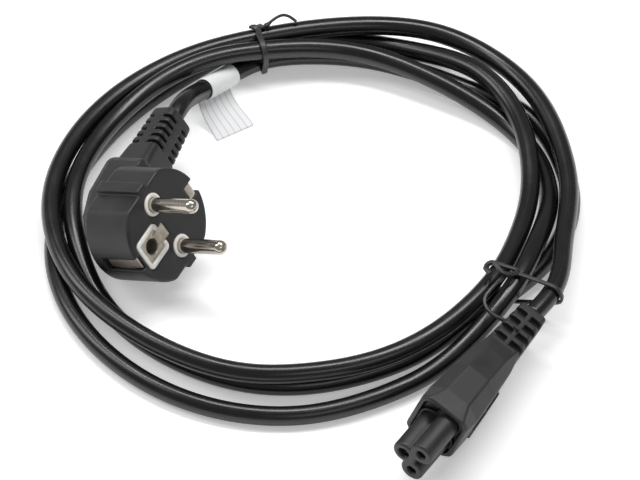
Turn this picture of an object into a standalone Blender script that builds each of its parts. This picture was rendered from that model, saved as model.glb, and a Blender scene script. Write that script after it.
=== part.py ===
"""Cloverleaf power cord: an angled earthed mains plug, a round black cord lying in three and
a half loose turns, a three-lobed appliance connector, a paper flag and two plastic wire ties.

Metres, +Z up. The cord lies on the plane Z = 0, and the origin is at the middle of the
whole part's outline on that plane.
"""
import math

import bmesh
import bpy
import numpy as np
from mathutils import Matrix, Vector

for old in list(bpy.data.objects):
    bpy.data.objects.remove(old, do_unlink=True)

MM = 0.001
GAP = 0.3                       # clearance that two touching pieces keep
GROUND = 0.0

# Cord
CORD_DIAMETER = 6.3
CORD_SIDES_RESOLUTION = 3       # 10 sides round the tube
TUBE_STEP = 15.0                # degrees of turn between two points of the tube
COIL_SHIFT = (-0.63, 19.16)     # the coil's centre, from the part's origin
LOW = CORD_DIAMETER / 2         # height of the cord's centre on the floor

# Plug, in its own frame: X along the pins' row, Y away from the cord, Z out of the face
FACE_DIAMETER = 37.0
RIM_DEPTH = 19.0
RIM_CHAMFER = 0.8
PIN_DIAMETER = 4.8
PIN_LENGTH = 19.0
PIN_PITCH = 19.0
PIN_TIP = 1.6
EARTH_BORE = 5.2
EARTH_SIDE = 8.2
EARTH_DEPTH = 13.0
EARTH_TAB = 4.2                 # metal that shows through the frame's open side
EARTH_TAB_DEPTH = 2.2
FRAME_SIDE = 11.4
COLLAR_DIAMETER = 7.6
COLLAR_PROUD = 0.4
BRIDGE_LENGTH = 28.0
BRIDGE_LAP = 0.8                # how far the carrier's bridge runs under the earth hole's frame
BRIDGE_DEPTH = 2.4              # how far the pins' carrier lies under the face
BRIDGE_THICKNESS = 3.2
SIDE_FLAT = 15.8                # from the axis to the flats beside each guide rib
GUIDE_WIDTH = 4.2
GUIDE_REACH = 17.6              # from the axis to the outside of each guide rib
CLIP_WIDTH = 4.6
CLIP_THICKNESS = 0.7
CLIP_RECESS_WIDTH = 5.2
CLIP_RECESS_DEPTH = 2.6
CLIP_LENGTH = 14.5
CLIP_TONGUE = 3.6
CLIP_SINK = 0.1                 # how far the contacts' ends lie under the face
FRAME_EDGE = 0.8                # wall between the earth hole's frame and the side contact's recess
EARTH_OFFSET = FACE_DIAMETER / 2 - CLIP_RECESS_DEPTH - FRAME_EDGE - FRAME_SIDE / 2
BRIDGE_WIDTH = 2 * (EARTH_OFFSET - FRAME_SIDE / 2 + BRIDGE_LAP)
BACK_SECTIONS = (               # Y, half width, highest and lowest Z, corner
    (15.0, 9.0, -17.5, -21.5, 1.8),
    (6.0, 10.5, -16.5, -28.0, 4.0),
    (-4.0, 10.5, -16.5, -32.5, 4.0),
    (-17.5, 10.5, -17.5, -34.0, 4.0),
    (-20.5, 9.6, -19.0, -34.0, 3.6),
)
NECK_DEPTH = 24.5               # depth of the neck's axis behind the middle of the face
NECK_LEAN = 6.0                 # how far the neck leans back from the face's plane, in degrees
NECK_SECTIONS = (               # distance along the neck, half width, half height, corner
    (8.0, 8.2, 8.2, 2.4),
    (22.0, 7.0, 6.9, 2.2),
    (30.5, 6.3, 5.9, 2.0),
    (42.5, 6.0, 5.0, 1.8),
    (46.4, 5.8, 4.7, 1.8),
)
SLOT_PITCH = 2.95
SLOT_WIDTH = 1.2
SLOT_DEPTH = 1.6
SLOT_ROWS = 5
SLOT_START = 30.4
SLOT_SPINE = 3.2                # solid strip left along the middle of each side

# Where the plug lies
PLUG_HEADING = -114.0           # bearing from the cord into the plug's neck
PLUG_DIP = 4.3                  # how far the neck slopes down towards the plug, in degrees
PLUG_TILT = 29.5                # how far the pins are turned up about the neck

# Connector, in its own frame: X along the row of the two live holes, Y to the earth hole,
# Z out of the front
NOSE_LENGTH = 15.0
NOSE_ROOT = 5.0
LOBE_DIAMETER = 7.8
LIVE_PITCH = 10.0
EARTH_RISE = 5.0
HOLE_DIAMETER = 3.0
EARTH_HOLE_DIAMETER = 3.6
HOLE_DEPTH = 12.0
SLEEVE_WALL = 0.35
SLEEVE_SET_BACK = 1.6
WEB_WIDTH = 6.0
WEB_HEIGHT = 5.0
RIM_RECESS = (9.5, 7.2, 2.6)    # half width, half height and corner of the hollow round the nose
RIM_RECESS_DEPTH = 2.2
SHELL_SECTIONS = (              # depth behind the nose's root, half width, half height, corner
    (0.0, 10.9, 8.6, 3.0),
    (1.2, 11.1, 9.0, 3.2),
    (7.0, 11.1, 9.2, 3.4),
    (17.5, 10.4, 8.3, 3.6),
    (30.0, 8.4, 7.2, 3.2),
    (36.0, 6.6, 6.0, 2.6),
    (55.5, 4.9, 4.8, 2.2),
)
GROOVE_PITCH = 4.2
GROOVE_WIDTH = 2.0
GROOVE_DEPTH = 1.9
GROOVE_ROWS = 4
GROOVE_START = 38.6
GROOVE_SPINE = 1.9
GROOVE_EDGE = 0.8

CONNECTOR_HEADING = 56.5        # bearing from the front to the cord
CONNECTOR_ROLL = 20.0

# Label and ties
PAPER = 0.35
PAPER_GAP = 0.2
FLAG_WIDTH = 14.5
FLAG_AT = 120.0                 # bearing of the flag's middle, at a point of the cord's tube
FLAG_LEAVES = -126.0            # where the flag leaves the wrap, up from the coil's inside
FLAG_SHIFT = 3.2                # how far the flag's root lies nearer to the plug than the wrap
FLAG_END = ((-30.2, 31.9), (-18.3, 38.9))   # its two far corners on the floor, from the coil's centre
FLAG_END_HEIGHT = 0.45
TIE_DIAMETER = 1.2
TIE_GAP = 0.45
TIE_PITCH = 2.2                 # how far the two ends of a tie lie apart along the cord

# The cord's route round the coil's centre: bearing in degrees (it runs clockwise, seen from
# above), distance from the centre, and height of the cord's centre.
LEAD_IN = (
    (148.7, 51.7, 16.8), (145.0, 52.3, 17.0), (135.0, 55.2, 13.6), (121.3, 59.5, 7.4),
    (112.8, 63.1, 5.5),
)
FIRST_TURN = (
    (105, 65.4, 4.9), (90, 67.1, 3.9), (75, 68.5, LOW), (60, 69.8, LOW), (45, 73.9, LOW),
    (30, 81.7, LOW), (15, 84.2, LOW), (0, 84.4, LOW), (-15, 80.6, 4.1), (-30, 74.9, 4.8),
    (-45, 70.3, 3.6), (-60, 71.4, LOW), (-75, 73.3, LOW), (-90, 75.8, LOW), (-105, 77.6, LOW),
    (-120, 77.9, LOW), (-135, 78.0, LOW), (-150, 77.9, 4.4), (-165, 77.0, 7.6),
)
SECOND_TURN = (
    (-180, 76.1, 9.6), (-195, 73.5, 9.8), (-210, 70.6, 10.2), (-225, 67.8, 12.1),
    (-240, 65.3, 13.2), (-255, 63.7, 12.1), (-270, 63.9, 10.8), (-285, 64.7, 9.8),
    (-300, 65.1, 9.0), (-315, 67.9, 6.9), (-330, 73.4, 3.7), (-345, 77.1, 3.3),
    (-360, 77.3, 5.6), (-375, 76.0, 10.2), (-390, 76.9, 11.5), (-405, 77.9, 7.8),
    (-420, 80.3, 3.7), (-435, 83.8, LOW), (-450, 88.1, LOW), (-465, 90.4, LOW),
    (-480, 90.8, LOW), (-495, 89.9, LOW), (-510, 88.1, LOW), (-525, 84.9, LOW),
)
THIRD_TURN = (
    (-540, 80.2, LOW), (-555, 75.7, LOW), (-570, 72.4, LOW), (-585, 70.9, LOW),
    (-600, 71.5, 3.8), (-615, 74.1, 4.8), (-630, 74.9, 3.9), (-645, 75.6, 3.3),
    (-660, 76.4, 5.7), (-675, 77.4, 9.6), (-690, 76.2, 10.1), (-705, 73.4, 10.0),
    (-720, 70.9, 9.0), (-735, 69.3, 9.5), (-750, 69.7, 10.6), (-765, 70.4, 10.2),
    (-780, 72.2, 9.8), (-795, 74.3, 9.8), (-810, 76.3, 9.8), (-825, 79.1, 9.8),
    (-840, 80.2, 9.8), (-855, 81.2, 9.7), (-870, 82.9, 9.5), (-885, 83.8, 9.8),
)
LAST_TURN = (
    (-900, 83.1, 9.8), (-915, 80.5, 9.7), (-930, 77.4, 9.7), (-945, 74.4, 9.8),
    (-960, 71.7, 10.6), (-975, 70.4, 10.9), (-990, 72.4, 10.6), (-1005, 77.4, 10.0),
    (-1020, 83.1, 9.5), (-1035, 85.6, 8.9), (-1050, 85.4, 9.7), (-1065, 84.1, 9.9),
    (-1080, 83.7, 9.9), (-1095, 84.4, 10.7), (-1108.9, 89.0, 12.6), (-1117.9, 91.6, 12.8),
)
ROUTE = np.array(LEAD_IN + FIRST_TURN + SECOND_TURN + THIRD_TURN + LAST_TURN)

# Bearings of the ties, and the free ends beyond each knot: bearing, distance, height
TOP_TIE_AT = 103.5
TOP_TIE_TAIL = ((101.5, 75.2, 14.6), (99.0, 77.4, 14.0), (96.6, 79.2, 12.4), (94.6, 79.6, 10.8),
                (92.8, 78.9, 9.9))
TOP_TIE_STUB = ((105.4, 75.6, 14.4), (106.2, 77.2, 14.8))
SIDE_TIE_AT = -30.5
SIDE_TIE_TAIL = ((-33.0, 75.6, 17.0), (-33.4, 72.2, 18.6), (-33.2, 68.9, 18.0), (-33.6, 67.2, 16.4),
                 (-35.2, 67.6, 15.4), (-36.6, 69.8, 15.2))
SIDE_TIE_STUB = ((-28.2, 73.6, 16.6), (-27.2, 72.0, 17.2))


def natural_spline(knots, values, at):
    """Value at each of `at` of the smooth (natural cubic) curve through the knots."""
    gaps = np.diff(knots)
    count = len(knots)
    system = np.eye(count)
    right = np.zeros(count)
    for i in range(1, count - 1):
        system[i, i - 1:i + 2] = gaps[i - 1], 2 * (gaps[i - 1] + gaps[i]), gaps[i]
        rise_after = (values[i + 1] - values[i]) / gaps[i]
        rise_before = (values[i] - values[i - 1]) / gaps[i - 1]
        right[i] = 6 * (rise_after - rise_before)
    bend = np.linalg.solve(system, right)
    span = np.clip(np.searchsorted(knots, at) - 1, 0, count - 2)
    gap = gaps[span]
    t = at - knots[span]
    bend_here, bend_next = bend[span], bend[span + 1]
    slope = (values[span + 1] - values[span]) / gap - gap * (2 * bend_here + bend_next) / 6
    rise = t * slope + t**2 * bend_here / 2 + t**3 * (bend_next - bend_here) / (6 * gap)
    return values[span] + rise


def into_plug():
    """The way that the cord runs into the plug's neck."""
    dip = math.radians(PLUG_DIP)
    return heading(PLUG_HEADING) * math.cos(dip) - Vector((0.0, 0.0, math.sin(dip)))


def cord_points(step):
    """Points of the cord's centre line in mm, one at each `step` degrees of bearing."""
    start, end = ROUTE[0, 0], ROUTE[-1, 0]
    whole = np.arange(math.floor(start / step) * step, end, -step)
    whole = whole[(whole < start - step / 3) & (whole > end + step / 3)]
    whole = whole[whole < ROUTE[1, 0] - step / 3]
    turned = start - np.concatenate([[start, ROUTE[1, 0]], whole, [end]])
    knots = start - ROUTE[:, 0]
    radius = natural_spline(knots, ROUTE[:, 1], turned)
    height = np.maximum(natural_spline(knots, ROUTE[:, 2], turned), LOW)
    bearing = np.radians(start - turned)
    points = np.stack([COIL_SHIFT[0] + radius * np.cos(bearing),
                       COIL_SHIFT[1] + radius * np.sin(bearing), GROUND + height], axis=1)
    # Both ends run straight into the plug's and the connector's necks.
    points[0] = points[1] + np.array(into_plug()) * np.linalg.norm(points[0] - points[1])
    points[-1] = points[-2] - np.array(heading(CONNECTOR_HEADING)) * np.linalg.norm(points[-1] - points[-2])
    return points


def cord_point_at(bearing):
    """The cord's centre at one bearing of its route, and the way it runs there."""
    fine = cord_points(1.0)
    place = int(np.clip(round(ROUTE[1, 0] - bearing) + 1, 1, len(fine) - 2))
    along = Vector(fine[place + 1] - fine[place - 1]).normalized()
    return Vector(fine[place]), along


def collection(name):
    made = bpy.data.collections.new(name)
    bpy.context.scene.collection.children.link(made)
    return made


def material(name, colour, roughness, metallic=0.0):
    made = bpy.data.materials.new(name)
    made.use_nodes = True
    shader = made.node_tree.nodes["Principled BSDF"]
    shader.inputs["Base Color"].default_value = (*colour, 1.0)
    shader.inputs["Roughness"].default_value = roughness
    shader.inputs["Metallic"].default_value = metallic
    return made


def add_object(name, mesh, group, parent=None):
    made = bpy.data.objects.new(name, mesh)
    group.objects.link(made)
    made.parent = parent
    if group is CUTTERS:
        made.hide_render = True
        made.display_type = "WIRE"
    return made


def mesh_of(bm, name):
    """A mesh, in metres, of a bmesh drawn in millimetres."""
    bmesh.ops.scale(bm, vec=(MM, MM, MM), verts=bm.verts)
    bmesh.ops.recalc_face_normals(bm, faces=bm.faces)
    mesh = bpy.data.meshes.new(name)
    bm.to_mesh(mesh)
    bm.free()
    mesh.shade_smooth()
    mesh.set_sharp_from_angle(angle=math.radians(30))
    return mesh


def box(bm, size, centre):
    made = bmesh.ops.create_cube(bm, size=1.0)["verts"]
    bmesh.ops.scale(bm, vec=size, verts=made)
    bmesh.ops.translate(bm, vec=centre, verts=made)
    return made


def cylinder(bm, diameter, low, high, centre=(0.0, 0.0), sides=32):
    """A cylinder along Z between two heights."""
    made = bmesh.ops.create_cone(bm, cap_ends=True, segments=sides, radius1=diameter / 2,
                                 radius2=diameter / 2, depth=high - low)["verts"]
    bmesh.ops.translate(bm, vec=(centre[0], centre[1], (low + high) / 2), verts=made)
    return made


def rounded_ring(half_x, half_y, corner, steps=4):
    """Points round a rectangle whose corners are arcs."""
    points = []
    for quadrant, (side_x, side_y) in enumerate(((1, 1), (-1, 1), (-1, -1), (1, -1))):
        for step in range(steps + 1):
            angle = math.radians(90) * (quadrant + step / steps)
            points.append((side_x * (half_x - corner) + corner * math.cos(angle),
                           side_y * (half_y - corner) + corner * math.sin(angle)))
    return points


def loft(bm, sections):
    """A closed body through rings of points that all have the same count."""
    rings = [[bm.verts.new(point) for point in section] for section in sections]
    for ring, following in zip(rings, rings[1:]):
        for i in range(len(ring)):
            j = (i + 1) % len(ring)
            bm.faces.new((ring[i], ring[j], following[j], following[i]))
    bm.faces.new(list(reversed(rings[0])))
    bm.faces.new(rings[-1])


def turned(name, profile, group, parent, sides=48):
    """A solid of revolution about Z, from (radius, height) points run top to bottom."""
    mesh = bpy.data.meshes.new(name)
    mesh.from_pydata([(r * MM, 0.0, z * MM) for r, z in profile],
                     [(i, i + 1) for i in range(len(profile) - 1)], [])
    made = add_object(name, mesh, group, parent)
    screw = made.modifiers.new("turn", "SCREW")
    screw.steps = screw.render_steps = sides
    screw.use_merge_vertices = True
    screw.merge_threshold = 0.00001
    screw.use_smooth_shade = True
    return made


def combine(made, tool, operation):
    step = made.modifiers.new(operation.lower(), "BOOLEAN")
    step.operation = operation
    step.object = tool


def rest_matrix(x_axis, y_axis, z_axis, origin):
    """The placement whose own axes and origin are the ones given, in mm."""
    turn = Matrix((x_axis, y_axis, z_axis)).transposed().to_4x4()
    return Matrix.Translation(Vector(origin) * MM) @ turn


def heading(degrees):
    return Vector((math.cos(math.radians(degrees)), math.sin(math.radians(degrees)), 0.0))


def place(base, points):
    """Bearing, distance and height round the coil's centre, as positions in mm."""
    made = []
    for bearing, distance, height in points:
        way = heading(bearing)
        made.append(base + way * distance + Vector((0.0, 0.0, height)))
    return made


def tube(name, points, diameter, resolution, group, parent=None):
    """A round bar along points in mm, with closed ends."""
    curve = bpy.data.curves.new(name, "CURVE")
    curve.dimensions = "3D"
    curve.bevel_depth = diameter / 2 * MM
    curve.bevel_resolution = resolution
    curve.use_fill_caps = True
    spline = curve.splines.new("POLY")
    spline.points.add(len(points) - 1)
    for spot, point in zip(spline.points, points):
        spot.co = (*(Vector(point) * MM), 1.0)
    return add_object(name, curve, group, parent)


def half_at(sections, at):
    """Half width and half height of a tapered body between two of its sections."""
    stops = [section[0] for section in sections]
    return (float(np.interp(at, stops, [section[1] for section in sections])),
            float(np.interp(at, stops, [section[2] for section in sections])))


def carrier_shapes(grown):
    """The pins' carrier, or with `grown` the pocket that the plug's body keeps for it."""
    low = -BRIDGE_DEPTH - BRIDGE_THICKNESS - grown
    top = -BRIDGE_DEPTH + grown
    proud = 3.0 if grown else COLLAR_PROUD
    parts = []
    bar = bmesh.new()
    box(bar, (BRIDGE_LENGTH + 2 * grown, BRIDGE_WIDTH + 2 * grown, top - low), (0, 0, (top + low) / 2))
    parts.append(bar)
    for side in (-1, 1):
        collar = bmesh.new()
        cylinder(collar, COLLAR_DIAMETER + 2 * grown, low / 2, proud, (side * PIN_PITCH / 2, 0.0))
        parts.append(collar)
    frame = bmesh.new()
    half = FRAME_SIDE / 2 + grown
    ring = rounded_ring(half, half, 1.8 + grown, 3)
    loft(frame, [[(x, y + EARTH_OFFSET, z) for x, y in ring] for z in (low, proud)])
    parts.append(frame)
    return parts


def lean_back(bm):
    """Turn what is drawn along -Y into the neck's place behind the face."""
    turn = Matrix.Rotation(math.radians(NECK_LEAN), 4, "X")
    bmesh.ops.transform(bm, matrix=Matrix.Translation((0, 0, -NECK_DEPTH)) @ turn, verts=bm.verts)


def make_plug(frame):
    """The plug's overmoulded body, the pins' carrier, the pins and the earth's metal."""
    radius = FACE_DIAMETER / 2
    body = turned("plug_body", ((0, 0), (radius - RIM_CHAMFER, 0), (radius, -RIM_CHAMFER),
                                (radius, -RIM_DEPTH + 1.5), (radius - 1.5, -RIM_DEPTH),
                                (0, -RIM_DEPTH)), PARTS, frame)

    bm = bmesh.new()
    rings = []
    for y, half, high, low, corner in BACK_SECTIONS:
        ring = rounded_ring(half, (high - low) / 2, corner)
        rings.append([(x, y, z + (high + low) / 2) for x, z in ring])
    loft(bm, rings)
    combine(body, add_object("plug_back", mesh_of(bm, "plug_back"), CUTTERS, frame), "UNION")

    bm = bmesh.new()
    rings = []
    for reach, half_x, half_z, corner in NECK_SECTIONS:
        ring = rounded_ring(half_x, half_z, corner)
        rings.append([(x, -reach, z) for x, z in ring])
    loft(bm, rings)
    lean_back(bm)
    combine(body, add_object("plug_neck", mesh_of(bm, "plug_neck"), CUTTERS, frame), "UNION")

    on_sides, on_faces = bmesh.new(), bmesh.new()
    for row in range(SLOT_ROWS):
        reach = SLOT_START + row * SLOT_PITCH
        half_x, half_z = half_at(NECK_SECTIONS, reach)
        for side, edge in ((-1, -1), (-1, 1), (1, -1), (1, 1)):
            box(on_sides, (2 * SLOT_DEPTH, SLOT_WIDTH, half_z),
                (side * half_x, -reach, edge * (SLOT_SPINE + half_z) / 2))
            box(on_faces, (half_x, 0.92 * SLOT_WIDTH, 2 * SLOT_DEPTH),
                (edge * (SLOT_SPINE + half_x) / 2, -reach, side * half_z))
    for name, cut in (("side_slots", on_sides), ("face_slots", on_faces)):
        lean_back(cut)
        combine(body, add_object(name, mesh_of(cut, name), CUTTERS, frame), "DIFFERENCE")

    bm = bmesh.new()
    over = 2.0
    for side in (-1, 1):
        box(bm, (CLIP_RECESS_WIDTH, CLIP_RECESS_DEPTH + over, CLIP_LENGTH + 2 * GAP + over),
            (0, side * (radius - (CLIP_RECESS_DEPTH - over) / 2), (over - CLIP_LENGTH - 2 * GAP) / 2))
    combine(body, add_object("plug_notches", mesh_of(bm, "plug_notches"), CUTTERS, frame), "DIFFERENCE")

    bm = bmesh.new()
    crowns = bmesh.new()
    beyond = radius + 1.3
    for side in (-1, 1):
        box(crowns, (beyond - GUIDE_REACH, 2 * GUIDE_WIDTH, 2 * RIM_DEPTH + 4.0),
            (side * (GUIDE_REACH + beyond) / 2, 0, 0))
        for turned_to in (-1, 1):
            box(bm, (beyond - SIDE_FLAT, radius, 2 * RIM_DEPTH + 4.0),
                (side * (SIDE_FLAT + beyond) / 2, turned_to * (GUIDE_WIDTH + radius) / 2, 0))
    combine(body, add_object("side_flats", mesh_of(bm, "side_flats"), CUTTERS, frame), "DIFFERENCE")
    combine(body, add_object("guide_crowns", mesh_of(crowns, "guide_crowns"), CUTTERS, frame), "DIFFERENCE")

    bm = bmesh.new()
    tongue_end = radius - CLIP_RECESS_DEPTH - CLIP_TONGUE - GAP
    box(bm, (CLIP_WIDTH + 2 * GAP, radius - tongue_end, 2 * (CLIP_SINK + CLIP_THICKNESS + GAP)),
        (0, -(tongue_end + radius) / 2, 0))
    combine(body, add_object("tongue_seat", mesh_of(bm, "tongue_seat"), CUTTERS, frame), "DIFFERENCE")

    for number, grown in enumerate(carrier_shapes(GAP)):
        name = f"carrier_pocket_{number}"
        combine(body, add_object(name, mesh_of(grown, name), CUTTERS, frame), "DIFFERENCE")
    socket_half = EARTH_SIDE / 2 + GAP
    bm = bmesh.new()
    box(bm, (2 * socket_half, 2 * socket_half, EARTH_DEPTH), (0, EARTH_OFFSET, -EARTH_DEPTH / 2 - GAP))
    combine(body, add_object("earth_pocket", mesh_of(bm, "earth_pocket"), CUTTERS, frame), "DIFFERENCE")

    shapes = carrier_shapes(0.0)
    insert = add_object("plug_insert", mesh_of(shapes[0], "plug_insert"), PARTS, frame)
    for number, shape in enumerate(shapes[1:]):
        name = f"carrier_shape_{number}"
        combine(insert, add_object(name, mesh_of(shape, name), CUTTERS, frame), "UNION")
    bm = bmesh.new()
    for side in (-1, 1):
        cylinder(bm, PIN_DIAMETER + 2 * GAP, -BRIDGE_DEPTH - 2 * BRIDGE_THICKNESS,
                 BRIDGE_THICKNESS, (side * PIN_PITCH / 2, 0.0))
    box(bm, (2 * socket_half, 2 * socket_half, 2 * EARTH_DEPTH), (0, EARTH_OFFSET, 0))
    combine(insert, add_object("carrier_bores", mesh_of(bm, "carrier_bores"), CUTTERS, frame), "DIFFERENCE")
    bm = bmesh.new()
    tab_half = EARTH_TAB / 2 + GAP
    box(bm, (2 * tab_half, 6.0, 2 * EARTH_TAB_DEPTH + 2 * GAP), (0, EARTH_OFFSET - FRAME_SIDE / 2, 0))
    combine(insert, add_object("tab_gap", mesh_of(bm, "tab_gap"), CUTTERS, frame), "DIFFERENCE")

    pin_low = -BRIDGE_DEPTH - BRIDGE_THICKNESS
    pin_radius = PIN_DIAMETER / 2
    tip = [(pin_radius - PIN_TIP + PIN_TIP * math.sin(a), PIN_LENGTH - PIN_TIP + PIN_TIP * math.cos(a))
           for a in np.radians((0, 22.5, 45, 67.5, 90))]
    for side, name in ((1, "pin_live"), (-1, "pin_neutral")):
        pin = turned(name, [(0, PIN_LENGTH)] + tip + [(pin_radius, pin_low), (0, pin_low)], PARTS, frame, 24)
        pin.location = (side * PIN_PITCH / 2 * MM, 0, 0)

    bm = bmesh.new()
    box(bm, (EARTH_SIDE, EARTH_SIDE, EARTH_DEPTH - GAP), (0, EARTH_OFFSET, -(EARTH_DEPTH + GAP) / 2))
    socket = add_object("earth_socket", mesh_of(bm, "earth_socket"), PARTS, frame)
    bm = bmesh.new()
    reach = (FRAME_SIDE - EARTH_SIDE) / 2 + 1.0
    box(bm, (EARTH_TAB, reach, EARTH_TAB_DEPTH - GAP),
        (0, EARTH_OFFSET - EARTH_SIDE / 2 + 1.0 - reach / 2, -(EARTH_TAB_DEPTH + GAP) / 2))
    combine(socket, add_object("earth_tab", mesh_of(bm, "earth_tab"), CUTTERS, frame), "UNION")
    bm = bmesh.new()
    cylinder(bm, EARTH_BORE, -EARTH_DEPTH + 1.5, 3.0, (0.0, EARTH_OFFSET))
    combine(socket, add_object("earth_bore", mesh_of(bm, "earth_bore"), CUTTERS, frame), "DIFFERENCE")

    floor = radius - CLIP_RECESS_DEPTH
    for side, name, tongue in ((-1, "earth_clip_inner", CLIP_TONGUE), (1, "earth_clip_outer", 0.0)):
        bm = bmesh.new()
        box(bm, (CLIP_WIDTH, CLIP_THICKNESS, CLIP_LENGTH - CLIP_SINK),
            (0, side * (floor + GAP + CLIP_THICKNESS / 2), -(CLIP_LENGTH + CLIP_SINK) / 2))
        clip = add_object(name, mesh_of(bm, name), PARTS, frame)
        if tongue:
            bm = bmesh.new()
            length = tongue + GAP + CLIP_THICKNESS
            box(bm, (CLIP_WIDTH, length, CLIP_THICKNESS),
                (0, side * (floor - tongue + length / 2), -CLIP_SINK - CLIP_THICKNESS / 2))
            combine(clip, add_object("clip_tongue", mesh_of(bm, "clip_tongue"), CUTTERS, frame), "UNION")


def lobe_centres():
    return ((-LIVE_PITCH / 2, -EARTH_RISE / 2, HOLE_DIAMETER), (LIVE_PITCH / 2, -EARTH_RISE / 2, HOLE_DIAMETER),
            (0.0, EARTH_RISE / 2, EARTH_HOLE_DIAMETER))


def nose_shapes(grown, low, high):
    """The nose's three lobes and the web between them, each as its own body."""
    made = []
    for x, y, _ in lobe_centres():
        bm = bmesh.new()
        cylinder(bm, LOBE_DIAMETER + 2 * grown, low, high, (x, y))
        made.append(bm)
    bm = bmesh.new()
    box(bm, (WEB_WIDTH + 2 * grown, WEB_HEIGHT + 2 * grown, high - low), (0, -1.0, (high + low) / 2))
    made.append(bm)
    return made


def make_connector(frame):
    """The connector's overmoulded shell, its three-lobed nose and the contacts in its holes."""
    root = -NOSE_LENGTH
    bm = bmesh.new()
    loft(bm, [[(x, y, root - depth) for x, y in rounded_ring(half_x, half_y, corner)]
              for depth, half_x, half_y, corner in SHELL_SECTIONS])
    shell = add_object("connector_body", mesh_of(bm, "connector_body"), PARTS, frame)

    bm = bmesh.new()
    loft(bm, [[(x, y, z) for x, y in rounded_ring(*RIM_RECESS)]
              for z in (root - RIM_RECESS_DEPTH, root + 2.0)])
    combine(shell, add_object("rim_recess", mesh_of(bm, "rim_recess"), CUTTERS, frame), "DIFFERENCE")
    for number, shape in enumerate(nose_shapes(GAP, root - NOSE_ROOT - GAP, root + 1.0)):
        name = f"nose_pocket_{number}"
        combine(shell, add_object(name, mesh_of(shape, name), CUTTERS, frame), "DIFFERENCE")

    bm = bmesh.new()
    for row in range(GROOVE_ROWS):
        depth = GROOVE_START + row * GROOVE_PITCH
        half_x, half_y = half_at(SHELL_SECTIONS, depth)
        length = half_y - GROOVE_EDGE - GROOVE_SPINE / 2
        for side in (-1, 1):
            for column in (-1, 1):
                box(bm, (2 * GROOVE_DEPTH, length, GROOVE_WIDTH),
                    (side * half_x, column * (GROOVE_SPINE + length) / 2, root - depth))
    combine(shell, add_object("neck_grooves", mesh_of(bm, "neck_grooves"), CUTTERS, frame), "DIFFERENCE")

    shapes = nose_shapes(0.0, root - NOSE_ROOT, 0.0)
    nose = add_object("connector_nose", mesh_of(shapes[0], "connector_nose"), PARTS, frame)
    for number, shape in enumerate(shapes[1:]):
        name = f"nose_lobe_{number}"
        combine(nose, add_object(name, mesh_of(shape, name), CUTTERS, frame), "UNION")
    bm = bmesh.new()
    for x, y, hole in lobe_centres():
        cylinder(bm, hole, -HOLE_DEPTH, 2.0, (x, y), 20)
    combine(nose, add_object("nose_holes", mesh_of(bm, "nose_holes"), CUTTERS, frame), "DIFFERENCE")

    for (x, y, hole), name in zip(lobe_centres(), ("contact_live", "contact_neutral", "contact_earth")):
        outer = hole / 2 - GAP
        inner = outer - SLEEVE_WALL
        low, high = -HOLE_DEPTH + GAP, -SLEEVE_SET_BACK
        bm = bmesh.new()
        cylinder(bm, 2 * outer, low, high, sides=20)
        sleeve = add_object(name, mesh_of(bm, name), PARTS, frame)
        sleeve.location = (x * MM, y * MM, 0)
        bm = bmesh.new()
        cylinder(bm, 2 * inner, low + 1.0, high + 1.0, sides=20)
        bore = add_object(name + "_bore", mesh_of(bm, name + "_bore"), CUTTERS, frame)
        bore.location = sleeve.location
        combine(sleeve, bore, "DIFFERENCE")


def make_label():
    """The paper flag: a strip that wraps the cord once and leaves it as a flag."""
    centres = [Vector(point) for point in cord_points(TUBE_STEP)]
    here = round((TUBE_STEP * 9 - FLAG_AT) / TUBE_STEP) + 2
    middle = centres[here]
    before = (centres[here] - centres[here - 1]).normalized()
    after = (centres[here + 1] - centres[here]).normalized()
    along = (before + after).normalized()
    radius = CORD_DIAMETER / 2 + PAPER_GAP + PAPER / 2
    leaves = math.radians(FLAG_LEAVES)
    sweep = math.radians(300)
    wrap = []
    for step in range(27):
        angle = leaves - sweep * (1 - step / 26)
        wrap.append((radius * math.cos(angle), radius * math.sin(angle)))
    start_way = (-math.sin(leaves), math.cos(leaves))
    base = Vector((COIL_SHIFT[0], COIL_SHIFT[1], GROUND + FLAG_END_HEIGHT))
    near_end, far_end = (base + Vector((x, y, 0.0)) for x, y in FLAG_END)
    bm = bmesh.new()
    rows = []
    for share, centre, way in ((0.0, middle - before * FLAG_WIDTH / 2, before), (0.5, middle, along),
                               (1.0, middle + after * FLAG_WIDTH / 2, after)):
        inward = Vector((way.y, -way.x, 0.0)).normalized()
        upward = inward.cross(way)
        if upward.z < 0:
            upward = -upward
        row = [bm.verts.new(centre + inward * q + upward * h) for q, h in wrap]
        root = row[-1].co.copy()
        end = near_end.lerp(far_end, share)
        reach = (end - root).length
        leave = (inward * start_way[0] + upward * start_way[1]) * reach
        arrive = Vector((end.x - root.x, end.y - root.y, 0.0)).normalized() * reach
        # A smooth curve that leaves the wrap along its slope and ends level on the floor.
        for step in range(1, 9):
            t = step / 8
            point = (root * (2 * t**3 - 3 * t**2 + 1) + leave * (t**3 - 2 * t**2 + t)
                     + end * (3 * t**2 - 2 * t**3) + arrive * (t**3 - t**2))
            row.append(bm.verts.new(point - way * FLAG_SHIFT * 4 * t * (1 - t) * (1 - t)))
        rows.append(row)
    for row, following in zip(rows, rows[1:]):
        for i in range(len(row) - 1):
            bm.faces.new((row[i], row[i + 1], following[i + 1], following[i]))
    label = add_object("label", mesh_of(bm, "label"), PARTS)
    wall = label.modifiers.new("paper", "SOLIDIFY")
    wall.thickness = PAPER * MM
    wall.offset = 0.0
    return label


def hull_order(centres):
    """The corners of the outline round some points, in order round it."""
    points = sorted(centres)

    def chain(run):
        kept = []
        for point in run:
            while len(kept) > 1:
                a, b = kept[-2], kept[-1]
                if (b[0] - a[0]) * (point[1] - a[1]) - (b[1] - a[1]) * (point[0] - a[0]) > 1e-9:
                    break
                kept.pop()
            kept.append(point)
        return kept[:-1]

    return chain(points) + chain(points[::-1])


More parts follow.
